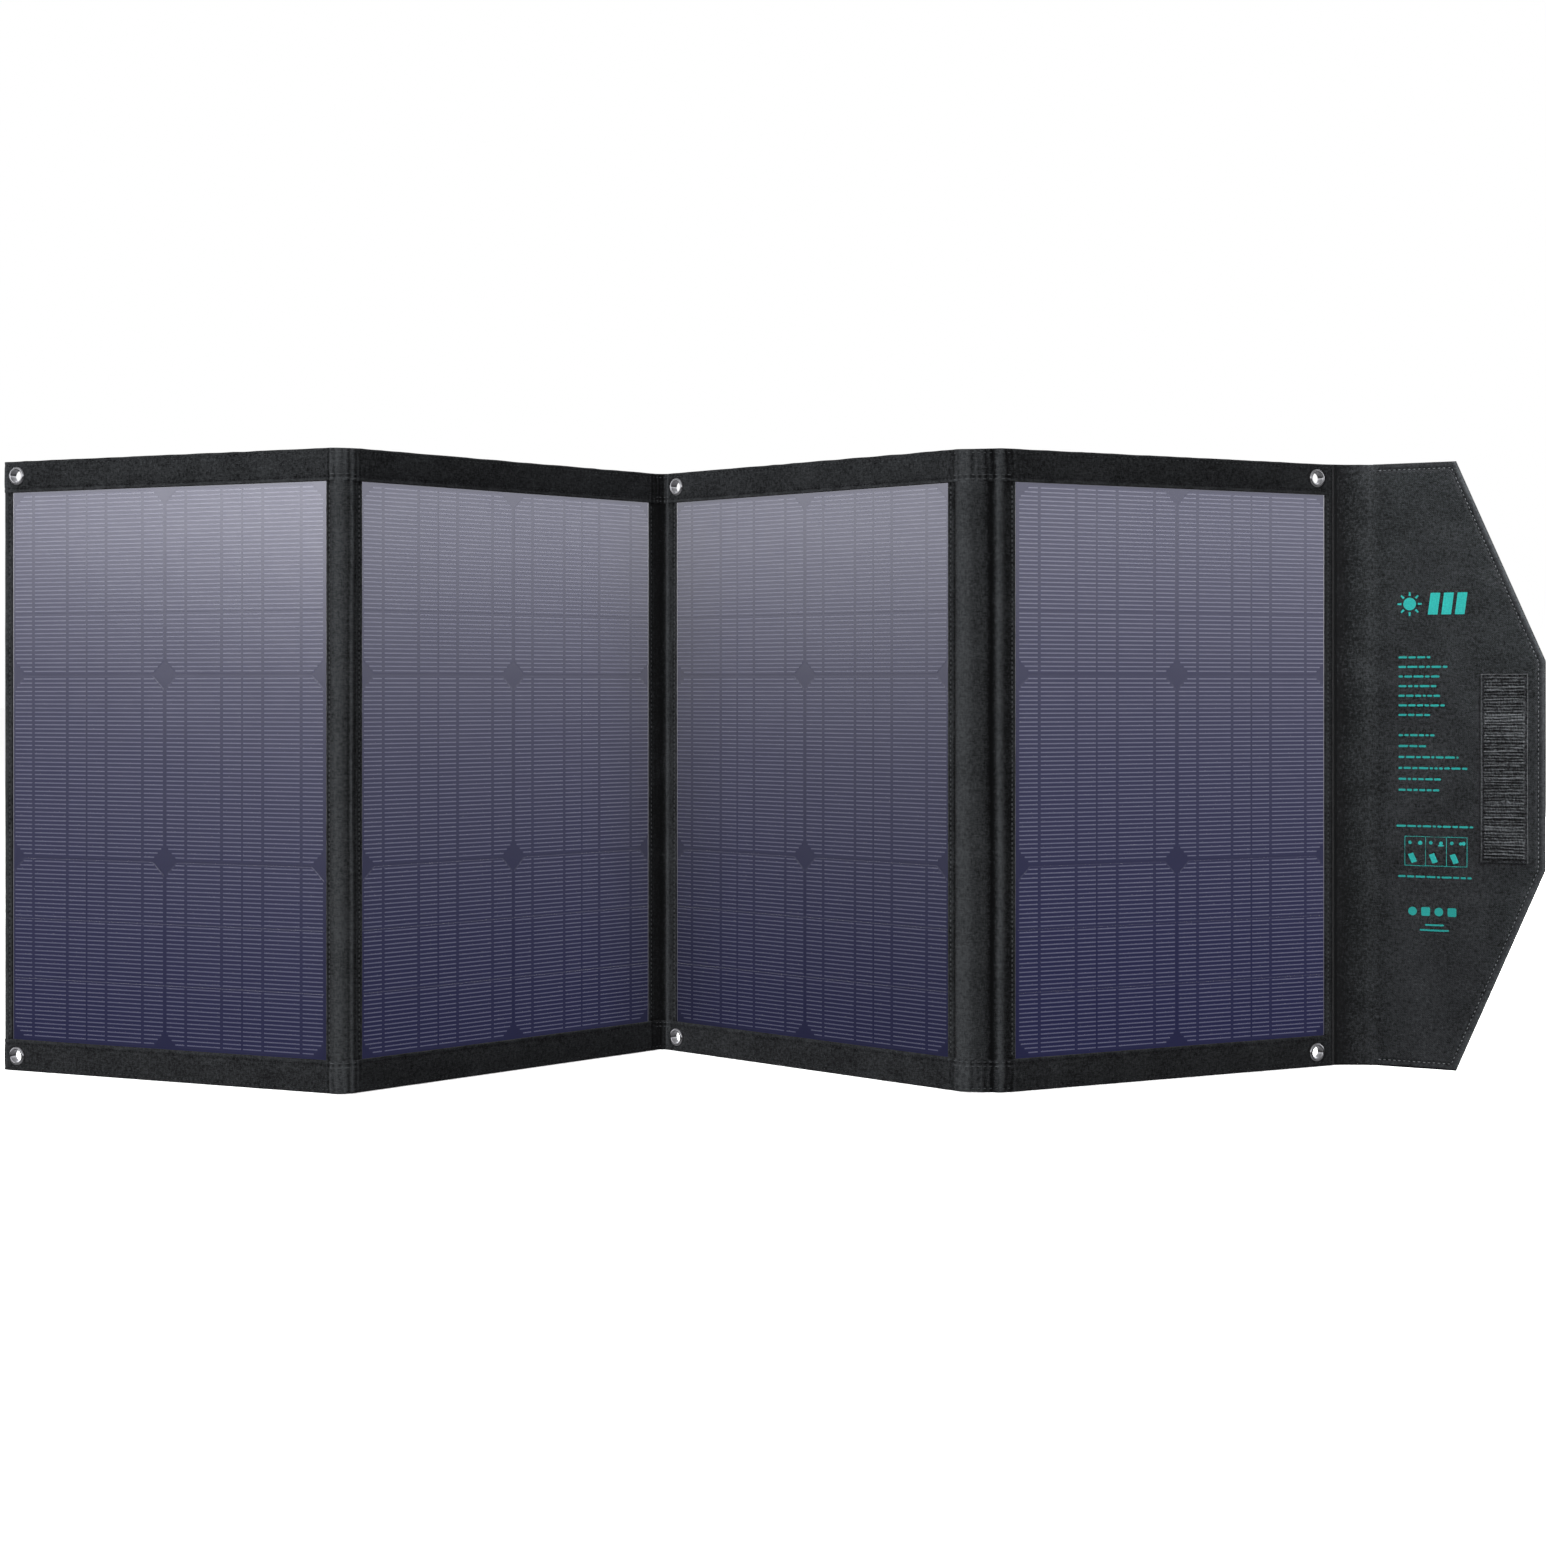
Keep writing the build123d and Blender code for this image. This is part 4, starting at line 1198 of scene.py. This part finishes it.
def flap_seam_path(inset):
    """The flap's free outline, set in."""
    low_slope, high_slope = FLAP_TAPER / FLAP_LOW, FLAP_TAPER / FLAP_TOP
    low_shift, high_shift = inset * LOW_SIDE / FLAP_LOW, inset * HIGH_SIDE / FLAP_TOP
    return [(4.0, inset),
            (FLAP_END_WIDTH + low_slope * inset - low_shift, inset),
            (FLAP_WIDTH - inset, FLAP_LOW + (low_shift - inset) / low_slope),
            (FLAP_WIDTH - inset, FLAP_HIGH - (high_shift - inset) / high_slope),
            (FLAP_END_WIDTH + high_slope * inset - high_shift, H - inset),
            (4.0, H - inset)]


for sign, side, surface in FLAP_SIDES:
    register(flap_cloth(sign, side, surface), "canvas", "flap", f"flap_{side}")
for sign, side, surface in FLAP_SIDES:
    obj = stitches(f"flap_stitching_{side}", seams_through(flap_seam_path(FLAP_SEAM), FLAP_START),
                   "thread", size=0.30, surface=surface, sign=sign)
    register(obj, "canvas", "flap")

# ---------------------------------------------------------------- hook and loop strips
STRIP_X0, STRIP_X1, STRIP_Z0, STRIP_Z1 = 75.0, 106.5, 146.0, 276.5     # from the body's start
STRIP_SEAM = 1.5


def strip_piece(name, start, surface, sign, seed):
    """Woven tape with crosswise rows of hooks and a plain selvedge."""
    x, z = np.meshgrid(
        lines((STRIP_X0, STRIP_X0 + 0.5, 0.25), (STRIP_X0 + 0.5, STRIP_X1 - 0.5, 0.55),
              (STRIP_X1 - 0.5, STRIP_X1, 0.25)),
        lines((STRIP_Z0, STRIP_Z0 + 0.5, 0.25), (STRIP_Z0 + 0.5, STRIP_Z1 - 0.5, 0.42),
              (STRIP_Z1 - 0.5, STRIP_Z1, 0.25)))
    inset = np.minimum(np.minimum(x - STRIP_X0, STRIP_X1 - x),
                       np.minimum(z - STRIP_Z0, STRIP_Z1 - z))
    field = ease(inset, 1.9, 2.6)      # 1 where the hooks are, 0 on the selvedge
    rows = np.sin(2 * math.pi * z / 2.1 + 1.6 * drift(x * 0.8, z * 3 + seed, 9, 60))
    tufts = np.sin(2 * math.pi * z / 9.7 + 2.4 * drift(x * 0.3, z + seed, 9, 100))
    tufts = np.clip(tufts, 0, 1) ** 6
    mottle = drift(x * 3 + seed, z * 3, 9, 60)
    fuzz = np.sin(x * 3.1 + 3 * drift(x * 2, z * 2 + seed, 9, 40) + z * 1.3)
    pile = field * (0.46 + 0.34 * rows + 0.16 * fuzz + 0.22 * mottle + 0.40 * tufts)
    rise = 0.72 + pile - 0.30 * bump(inset, STRIP_SEAM, 0.5)
    rise = rise * rounded(inset, 0.5) * 0.9 + 0.06
    tone = field * (0.45 * rows + 0.30 * mottle + 0.9 * tufts + 0.25 * fuzz)
    tone = tone + 0.8 * (1 - ease(x, STRIP_X0 + 0.9, STRIP_X0 + 1.6))
    tone = tone - 0.7 * bump(inset, 1.6, 0.5)
    wobble = 0.18 * drift(x, z * 0.7 + seed, 20, 80)
    wobbled = x + np.where(inset < 1, wobble, wobble * 0.3) + start
    base = surface(x + start, z)
    return shell(name, place(wobbled, z, sign * (base + rise)),
                 place(wobbled, z, sign * (base - 0.10)), x + start, z, "hook",
                 -np.clip(tone, -1, 1), flip=sign < 0)


# name, body's start, surface, sign, seed, body, CAD node
STRIPS = [("hook_tape", FLAP_START, on_flap_front, 1.0, 11, "flap", "hook_strip"),
          ("loop_tape", PANEL_START[3], back, -1.0, 57, "panel_3", "loop_strip")]
STRIP_SEAM_PATH = [(STRIP_X0 + STRIP_SEAM, STRIP_Z0 + STRIP_SEAM),
                   (STRIP_X1 - STRIP_SEAM, STRIP_Z0 + STRIP_SEAM),
                   (STRIP_X1 - STRIP_SEAM, STRIP_Z1 - STRIP_SEAM),
                   (STRIP_X0 + STRIP_SEAM, STRIP_Z1 - STRIP_SEAM),
                   (STRIP_X0 + STRIP_SEAM, STRIP_Z0 + STRIP_SEAM)]
for name, start, surface, sign, seed, body, node in STRIPS:
    register(strip_piece(name, start, surface, sign, seed), "hook_fabric", body, node)
for name, start, surface, sign, _, body, _ in STRIPS:
    obj = stitches(f"{name}_stitching", seams_through(STRIP_SEAM_PATH, start), "thread_dark",
                   size=0.3, lift=0.66, surface=surface, sign=sign)
    register(obj, "hook_fabric", body)

# ---------------------------------------------------------------- printed marks on the flap
# A sun, ruled lines and pictograms. Their heights are laid out for 420 mm and stretched to H.
PRINT_STRETCH = H / 420.0


def decal(name, outlines, material):
    """Thin closed patches that follow the flap's front cloth."""
    points, faces = [], []
    for outline in outlines:
        count = len(outline)
        low, high = len(points), len(points) + count + 1
        centre = (sum(p[0] for p in outline) / count, sum(p[1] for p in outline) / count)
        for lift in (-0.10, 0.055):
            points += [(x, z, lift) for x, z in (*outline, centre)]
        for q in range(count):
            r = (q + 1) % count
            faces.append((high + q, high + r, high + count))
            faces.append((low + r, low + q, low + count))
            faces.append((low + q, low + r, high + r, high + q))
    x, z, lift = np.array(points).T
    along = x + FLAP_START
    obj = loft_object(name, place(along, z, on_flap_front(along, z) + lift), faces,
                      np.stack([along, z], 1) * UV_PER_MM, material, smooth=False)
    register(obj, "canvas", "flap")


def bar(x0, x1, z0, z1, radius=None, segments=4):
    """Rounded bar, with full round ends unless a radius is given."""
    radius = min(x1 - x0, z1 - z0) / 2 if radius is None else radius
    return rounded_rect(x0, x1, z0, z1, radius, segments)


def rect(x0, x1, z0, z1):
    return [(x0, z0), (x1, z0), (x1, z1), (x0, z1)]


def disc(x, z, radius, segments):
    angles = (2 * math.pi * q / segments for q in range(segments))
    return [(x + radius * math.cos(angle), z + radius * math.sin(angle)) for angle in angles]


def ruled(start, end, z, height, rng):
    """A printed line as a row of short plain bars of uneven length."""
    out = []
    while start < end - 1.0:
        stop = min(start + float(rng.uniform(2.2, 7.0)), end)
        if stop - start > 0.8:
            out.append(bar(start, stop, z - height / 2, z + height / 2, radius=height * 0.42,
                           segments=2))
        start = stop + 0.9
    return out


def sun_mark():
    """A sun with eight tapering rays, and three slanted panes beside it."""
    x, z = 26.5, 322.0 * PRINT_STRETCH
    outlines = [disc(x, z, 4.4, 28)]
    for q in range(8):
        angle = 2 * math.pi * q / 8
        cos, sin = math.cos(angle), math.sin(angle)
        ray = ((8.4, 0.55), (8.4, -0.55), (5.7, -0.75), (5.7, 0.75))     # outwards, sideways
        outlines.append([(x + cos * far - sin * aside, z + sin * far + cos * aside)
                         for far, aside in ray])
    for q in range(3):
        left = 39.0 + q * 9.2
        outlines.append([(left, z - 7.6), (left + 6.6, z - 7.6), (left + 8.6, z + 7.6),
                         (left + 2.0, z + 7.6)])
    return outlines


def rulings():
    """Two blocks of ruled lines and two long lines under them."""
    rng = np.random.default_rng(21)
    # start, line heights, line ends, thickness
    blocks = [(18.8, np.linspace(285, 245, 7), (41, 52.5, 47, 45, 48, 51, 41), 1.5),
              (18.8, np.linspace(231, 193, 6), (45, 39, 60, 66, 48, 47), 1.5),
              (17.5, (168,), (70,), 1.4),
              (18.5, (133,), (69,), 1.4)]
    return [outline for start, heights, ends, thickness in blocks
            for z, end in zip(heights, ends)
            for outline in ruled(start, end, z * PRINT_STRETCH, thickness, rng)]


def pictograms():
    """Three framed pictures, each a tilted pane under a sky; returns pictures, frame lines."""
    x0, x1, z0, z1 = 23.0, 66.0, 140.5 * PRINT_STRETCH, 161.0 * PRINT_STRETCH
    pitch, line = 14.3, 0.42
    pictures = []
    frames = [rect(x0, x1, z0, z0 + line), rect(x0, x1, z1 - line, z1)]
    for x in (x0, x0 + pitch, x0 + 2 * pitch, x1 - line):
        frames.append(rect(x, x + line, z0 + line, z1 - line))
    for q in range(3):
        x = x0 + pitch * q + 1.4
        pictures.append([(x + 3.6, z0 + 1.8), (x + 7.2, z0 + 3.2), (x + 4.6, z0 + 9.2),
                         (x + 1.0, z0 + 8.0)])
        sky_x, sky_z = x + 9.4, z1 - 4.6
        if q == 0:       # one disc
            pictures.append(disc(sky_x, sky_z, 1.5, 14))
        elif q == 1:     # disc over a bar
            pictures.append(disc(sky_x, sky_z, 1.3, 12))
            pictures.append(bar(sky_x - 2.0, sky_x + 2.0, sky_z - 2.1, sky_z - 1.1, segments=2))
        else:            # two discs
            pictures.append(disc(sky_x - 0.9, sky_z, 1.1, 12))
            pictures.append(disc(sky_x + 1.0, sky_z + 0.2, 1.35, 12))
        frames.append(disc(x + 2.4, z1 - 4.4, 1.25, 12))
    return pictures, frames


def small_shapes():
    """Discs and blocks in a row, with two bars under them."""
    outlines = []
    for x in (28.5, 46.5):
        outlines.append(disc(x, 109 * PRINT_STRETCH, 3.0, 20))
        outlines.append(bar(x + 6.0, x + 12.0, 106 * PRINT_STRETCH, 112 * PRINT_STRETCH,
                            radius=1.0))
    for x0, x1, z0, z1 in ((37, 50, 99.2, 100.4), (33.5, 53.5, 95.6, 96.8)):
        outlines.append(bar(x0, x1, z0 * PRINT_STRETCH, z1 * PRINT_STRETCH, segments=2))
    return outlines


pictures, frames = pictograms()
decal("printed_sun_mark", sun_mark(), "print")
decal("printed_rulings", rulings(), "print_fine")
decal("printed_pictograms", pictures, "print")
decal("printed_frame_lines", frames, "print_fine")
decal("printed_shapes", small_shapes(), "print_fine")

# ---------------------------------------------------------------- zip pocket behind panel 4
# On the pocket, x is the distance from the start of panel 4.
POCKET_X0, POCKET_X1, POCKET_Z0, POCKET_Z1 = 45.0, 223.0, 37.0, 237.0
POCKET_CORNER = 13
ZIP_Z, ZIP_X0, ZIP_X1 = 214.0, 56.0, 212.0
ZIP_SEAM = 10.2                 # stitch lines over and under the zip
POCKET_START = PANEL_START[4]


def pocket_outline(grow, segments):
    return rounded_rect(POCKET_X0 - grow, POCKET_X1 + grow, POCKET_Z0 - grow, POCKET_Z1 + grow,
                        POCKET_CORNER + grow, segments)


def pocket_inset(x, z):
    """Distance inside the pocket's rounded outline."""
    over_x = np.abs(x - (POCKET_X0 + POCKET_X1) / 2) - ((POCKET_X1 - POCKET_X0) / 2 - POCKET_CORNER)
    over_z = np.abs(z - (POCKET_Z0 + POCKET_Z1) / 2) - ((POCKET_Z1 - POCKET_Z0) / 2 - POCKET_CORNER)
    corner = np.hypot(np.maximum(over_x, 0), np.maximum(over_z, 0))
    return -(corner + np.minimum(np.maximum(over_x, over_z), 0) - POCKET_CORNER)


def along_zip(x, reach_out, reach_in):
    """1 over the zip's length, fading out beyond both ends."""
    return plateau(x, ZIP_X0 - reach_out, ZIP_X0 - reach_in, ZIP_X1 + reach_in,
                   ZIP_X1 + reach_out)


def pocket_rise(x, z):
    """How far the pocket stands off the back cover."""
    inset = pocket_inset(x, z)
    from_zip = np.abs(z - ZIP_Z)
    sag = 0.55 * drift(x * 0.8 + 15, z * 0.8, 30, 100) + 0.22 * drift(x, z, 12, 30)
    slack = 0.7 * (np.sin((x - 44) / 180 * math.pi)
                   * np.sin(np.clip((z - 36) / 150, 0, 1) * math.pi))
    rise = (12.2 + sag + slack) * rounded(inset, 9.0, power=2.4)
    rise = rise + 0.45 * bump(inset, 5.2, 1.1)                         # piped edge
    rise = rise - 0.30 * bump(from_zip, ZIP_SEAM, 0.8) * along_zip(x, 10, 4)
    slot = along_zip(x, 4.6, 3.6) * (1 - ease(from_zip, 4.9, 5.6))
    rise = rise * (1 - slot) + 11.3 * slot
    lip = bump(from_zip, 6.4, 0.9) * along_zip(x, 8, 4)
    return np.clip(rise + 0.35 * lip, 0, 13.9)


def pocket_surface(along, z):
    return 2.0 + pocket_rise(along - POCKET_START, z)


def pocket_cloth():
    x, z = np.meshgrid(
        lines((POCKET_X0, POCKET_X0 + 10, 0.8), (POCKET_X0 + 10, POCKET_X1 - 10, 2.2),
              (POCKET_X1 - 10, POCKET_X1, 0.8)),
        lines((POCKET_Z0, POCKET_Z0 + 11, 0.8), (POCKET_Z0 + 11, ZIP_Z - 13, 2.2),
              (ZIP_Z - 13, ZIP_Z - 7.5, 0.7), (ZIP_Z - 7.5, ZIP_Z - 4.5, 0.3),
              (ZIP_Z - 4.5, ZIP_Z + 4.5, 1.5), (ZIP_Z + 4.5, ZIP_Z + 7.5, 0.3),
              (ZIP_Z + 7.5, POCKET_Z1, 0.8)))
    rise, inset = pocket_rise(x, z), pocket_inset(x, z)
    mean_inset = 0.25 * (inset[1:, 1:] + inset[:-1, 1:] + inset[1:, :-1] + inset[:-1, :-1])
    along = x + POCKET_START
    # the shade attribute holds painted shade in the pocket's creases and painted highlight on its
    # ridges
    return shell("pocket_cloth", place(along, z, -(2.0 + np.maximum(rise, 0.15))),
                 place(along, z, -(2.0 + np.clip(rise - 1.0, -0.05, 20))),
                 x + POCKET_UV_SHIFT, z, "canvas", hollow(pocket_rise, x, z),
                 mask=mean_inset > -0.2, flip=True)


# share of the way from the inner to the outer outline, share of the thickness
FLANGE_PROFILE = [(1.0, 0.0), (1.0, 0.55), (0.86, 0.95), (0.5, 1.0), (0.14, 0.95), (0.0, 0.55),
                  (0.0, 0.0)]
FLANGE_THICKNESS = 0.75


def pocket_flange():
    """Flat turned strip sewn round the pocket."""
    outer, inner = pocket_outline(5.2, 12), pocket_outline(-0.8, 12)
    points = [(b[0] + (a[0] - b[0]) * share, b[1] + (a[1] - b[1]) * share,
               height * FLANGE_THICKNESS)
              for share, height in FLANGE_PROFILE for a, b in zip(outer, inner)]
    x, z, rise = np.array(points).T
    along = x + POCKET_START
    return loft_object("pocket_flange", place(along, z, -(back(along, z) - 0.12 + rise)),
                       loft_faces(0, len(FLANGE_PROFILE), len(outer), closed=True),
                       np.stack([x + POCKET_UV_SHIFT, z], 1) * UV_PER_MM, "canvas")


def flange_surface(along, z):
    return back(along, z) + 0.62


register(pocket_cloth(), "canvas", "panel_4", "pocket")
zip_start, zip_end = POCKET_START + ZIP_X0 - 7, POCKET_START + ZIP_X1 + 7
zip_low, zip_high = ZIP_Z - ZIP_SEAM, ZIP_Z + ZIP_SEAM
seams = [(zip_start, zip_low, zip_end, zip_low), (zip_start, zip_high, zip_end, zip_high),
         (zip_start, zip_low, zip_start, zip_high), (zip_end, zip_low, zip_end, zip_high)]
register(stitches("pocket_zip_stitching", seams, "thread", size=0.3, surface=pocket_surface,
                  sign=-1.0), "canvas", "panel_4")
register(pocket_flange(), "canvas", "panel_4")
path = pocket_outline(2.6, 5)
register(stitches("pocket_flange_stitching", seams_through(path + path[:1], POCKET_START),
                  "thread", size=0.3, surface=flange_surface, sign=-1.0), "canvas", "panel_4")

# ---------------------------------------------------------------- materials on the CAD nodes
NODE_MATERIALS = {
    "plastic": ("controller_base", "controller_lid", "dc_jack", "zipper_teeth"),
    "enamel": ("controller_screws", "zip_slider", "zip_pull"),
    "rubber": ("port_cover",),
    "nickel": ("usb_ports", "usb_c_port", "eyelets_1", "eyelets_3", "eyelets_4"),
    "pcb": ("controller_board",),
    "lens": ("status_light",),
    "wire": ("output_lead", "link_wires_1", "link_wires_2", "link_wires_3"),
    "tape": ("zipper_tape",),
    "board": ("flap_board", "stiffener_board_1", "stiffener_board_2", "stiffener_board_3",
              "stiffener_board_4"),
}
for key, names in NODE_MATERIALS.items():
    for name in names:
        obj = NODES[name]
        if not obj.data.materials:
            obj.data.materials.append(MATERIALS[key])
        for slot in obj.material_slots:
            slot.material = MATERIALS[key]
        if name.startswith(("eyelets", "zip_")):
            make_smooth(obj.data)
            sharpen(obj.data, 35)

# ---------------------------------------------------------------- floor
bpy.ops.mesh.primitive_plane_add(size=60, location=(0, 0, -0.0004))
floor = bpy.context.object
floor.name = "floor"
material, n, shader = new_material("pale_floor")
n.fill(shader, {"Base Color": (0.93, 0.93, 0.93, 1), "Roughness": 0.9, "Specular IOR Level": 0.1,
                "Emission Color": (1, 1, 1, 1), "Emission Strength": 0.66})
floor.data.materials.append(material)
floor.visible_glossy = False
floor.visible_diffuse = False

# ---------------------------------------------------------------- world
# The camera sees white, diffuse rays an even grey, and glossy rays the sky described below.
# elevation in degrees, brightness
SKY = [(-90, 0.16), (-60, 0.17), (-25, 0.145), (-17, 0.08), (-11, 0.022), (-8.2, 0.020),
       (-7.1, 0.036), (-5.8, 0.056), (-4.5, 0.085), (-3.2, 0.13), (-1.9, 0.158), (-0.55, 0.235),
       (0.8, 0.335), (2.1, 0.48), (3.4, 0.67), (4.5, 0.86), (6.0, 0.90), (12, 0.60), (25, 0.34),
       (50, 0.30), (90, 0.30)]
# azimuth in degrees, 0 towards -Y and positive towards +X; brightness
AROUND = [(-180, 0.5), (-100, 0.45), (-90, 0.47), (-86, 0.48), (-80, 0.57), (-75, 0.56),
          (-70, 0.41), (-66, 0.43), (-61, 0.56), (-57, 0.74), (-53, 0.87), (-40, 0.9),
          (-15, 0.7), (20, 0.45), (50, 0.30), (56, 0.32), (63, 0.37), (72, 0.45), (79, 0.50),
          (86, 0.51), (110, 0.5), (180, 0.5)]
# elevation in degrees, factor on the -X side only
LEFT_FALL = [(-12, 1.0), (-7, 0.98), (-5.8, 0.92), (-4.5, 0.86), (-3.2, 0.82), (-1.9, 0.76),
             (-0.55, 0.74), (0.8, 0.78), (2.1, 0.86), (3.4, 0.96), (4.6, 1.06), (8, 1.06)]
# azimuth in degrees, share of LEFT_FALL
LEFT_SHARE = [(-76, 0), (-72, 1), (-50, 1), (-40, 0)]
GLOSSY_STRENGTH, CAMERA_STRENGTH, DIFFUSE_STRENGTH = 7.0, 1.0, 0.26


def elevation_ramp(n, z, rows, blue=1.0):
    factor = n.math("ADD", n.math("MULTIPLY", z, 0.5), 0.5)
    return n.ramp(factor, *[(0.5 + 0.5 * math.sin(math.radians(degrees)),
                             (value, value, value * blue)) for degrees, value in rows])


def azimuth_ramp(n, turn, rows):
    return n.ramp(n.math("ADD", turn, 0.5), *[((degrees + 180) / 360, (value, value, value))
                                              for degrees, value in rows])


def background(n, color, strength):
    node = n.node("ShaderNodeBackground")
    n.fill(node, {0: color, 1: strength})
    return node.outputs[0]


def mix_shader(n, factor, first, second):
    node = n.node("ShaderNodeMixShader")
    n.fill(node, {0: factor, 1: first, 2: second})
    return node.outputs[0]


def build_world():
    world = bpy.data.worlds.new("studio")
    bpy.context.scene.world = world
    world.use_nodes = True
    world.node_tree.nodes.clear()
    n = Nodes(world.node_tree)
    output = n.node("ShaderNodeOutputWorld")
    rays = n.node("ShaderNodeLightPath").outputs
    x, y, z = n.split(n.node("ShaderNodeTexCoord").outputs["Generated"])
    sky = elevation_ramp(n, z, SKY, blue=1.07)
    angle = n.math("ARCTAN2", x, n.math("MULTIPLY", y, -1.0))
    turn = n.math("DIVIDE", angle, 2 * math.pi)      # -0.5..0.5
    sky = n.mix(1.0, sky, azimuth_ramp(n, turn, AROUND), "MULTIPLY")
    fall = elevation_ramp(n, z, LEFT_FALL)
    left = azimuth_ramp(n, turn, LEFT_SHARE)
    sky = n.mix(left, sky, n.mix(1.0, sky, fall, "MULTIPLY"))
    glossy = background(n, sky, GLOSSY_STRENGTH)
    camera = background(n, (1, 1, 1, 1), CAMERA_STRENGTH)
    diffuse = background(n, (1, 1, 1, 1), DIFFUSE_STRENGTH)
    unseen = mix_shader(n, rays["Is Glossy Ray"], diffuse, glossy)
    n.put(output.inputs[0], mix_shader(n, rays["Is Camera Ray"], unseen, camera))


build_world()


# ---------------------------------------------------------------- lights
def area(name, group, objects, location, target, size, power):
    """An area light, unseen by glossy rays, that lights only the given objects."""
    light = bpy.data.lights.new(name, "AREA")
    light.size = size
    light.energy = power
    obj = bpy.data.objects.new(name, light)
    bpy.context.scene.collection.objects.link(obj)
    obj.location = location
    aim = Vector(target) - Vector(location)
    obj.rotation_euler = aim.to_track_quat("-Z", "Y").to_euler()
    obj.visible_glossy = False
    receivers = bpy.data.collections.new(group)
    for receiver in objects:
        receivers.objects.link(receiver)
    obj.light_linking.receiver_collection = receivers


def is_laminate(obj):
    materials = obj.data.materials
    return bool(materials and materials[0] and materials[0].name.endswith(
        ("under_film", "finger_lines", "film_edge")))


MESHES = [obj for obj in bpy.context.scene.objects if obj.type == "MESH"]
LAMINATE = [obj for obj in MESHES if is_laminate(obj)]
REST = [obj for obj in MESHES if not is_laminate(obj)]
FLAP_PIECES = [obj for obj in REST if obj.name.startswith(
    ("flap_front", "flap_spine", "flap_stitching_front", "hook_tape", "printed"))]
for obj in MESHES:
    obj.visible_glossy = False

area("key", "key_receivers", REST,
     location=(-1.9, -2.9, 1.9), target=(0, 0, 0.2), size=1.1, power=190)
area("film_left", "film_receivers_left", LAMINATE,
     location=(-2.6, -2.2, 0.9), target=(0, 0, 0.2), size=1.4, power=50)
area("film_right", "film_receivers_right", LAMINATE,
     location=(2.6, -2.2, 0.9), target=(0, 0, 0.2), size=1.4, power=60)
area("top", "top_receivers", REST,
     location=(0.4, -0.4, 3.0), target=(0, 0, 0), size=2.0, power=26)
area("rear", "rear_receivers", REST,
     location=(1.6, 2.8, 1.7), target=(0, 0, 0.2), size=1.6, power=300)
area("flap_light", "flap_receivers", FLAP_PIECES,
     location=(0.95, -0.62, 0.98), target=(0.72, 0.0, 0.46), size=0.4, power=78)

# ---------------------------------------------------------------- camera
camera_data = bpy.data.cameras.new("camera")
camera = bpy.data.objects.new("camera", camera_data)
bpy.context.scene.collection.objects.link(camera)
camera.location = (0.0032, -1.6489, 0.2665)
camera.rotation_euler = (math.radians(90), 0, 0)     # level, looking along +Y
camera_data.sensor_width = 36.0
camera_data.lens = 55.05485123
camera_data.shift_y = -0.05465717982
bpy.context.scene.camera = camera
bpy.context.scene.view_settings.view_transform = "Standard"
bpy.context.scene.view_settings.look = "None"
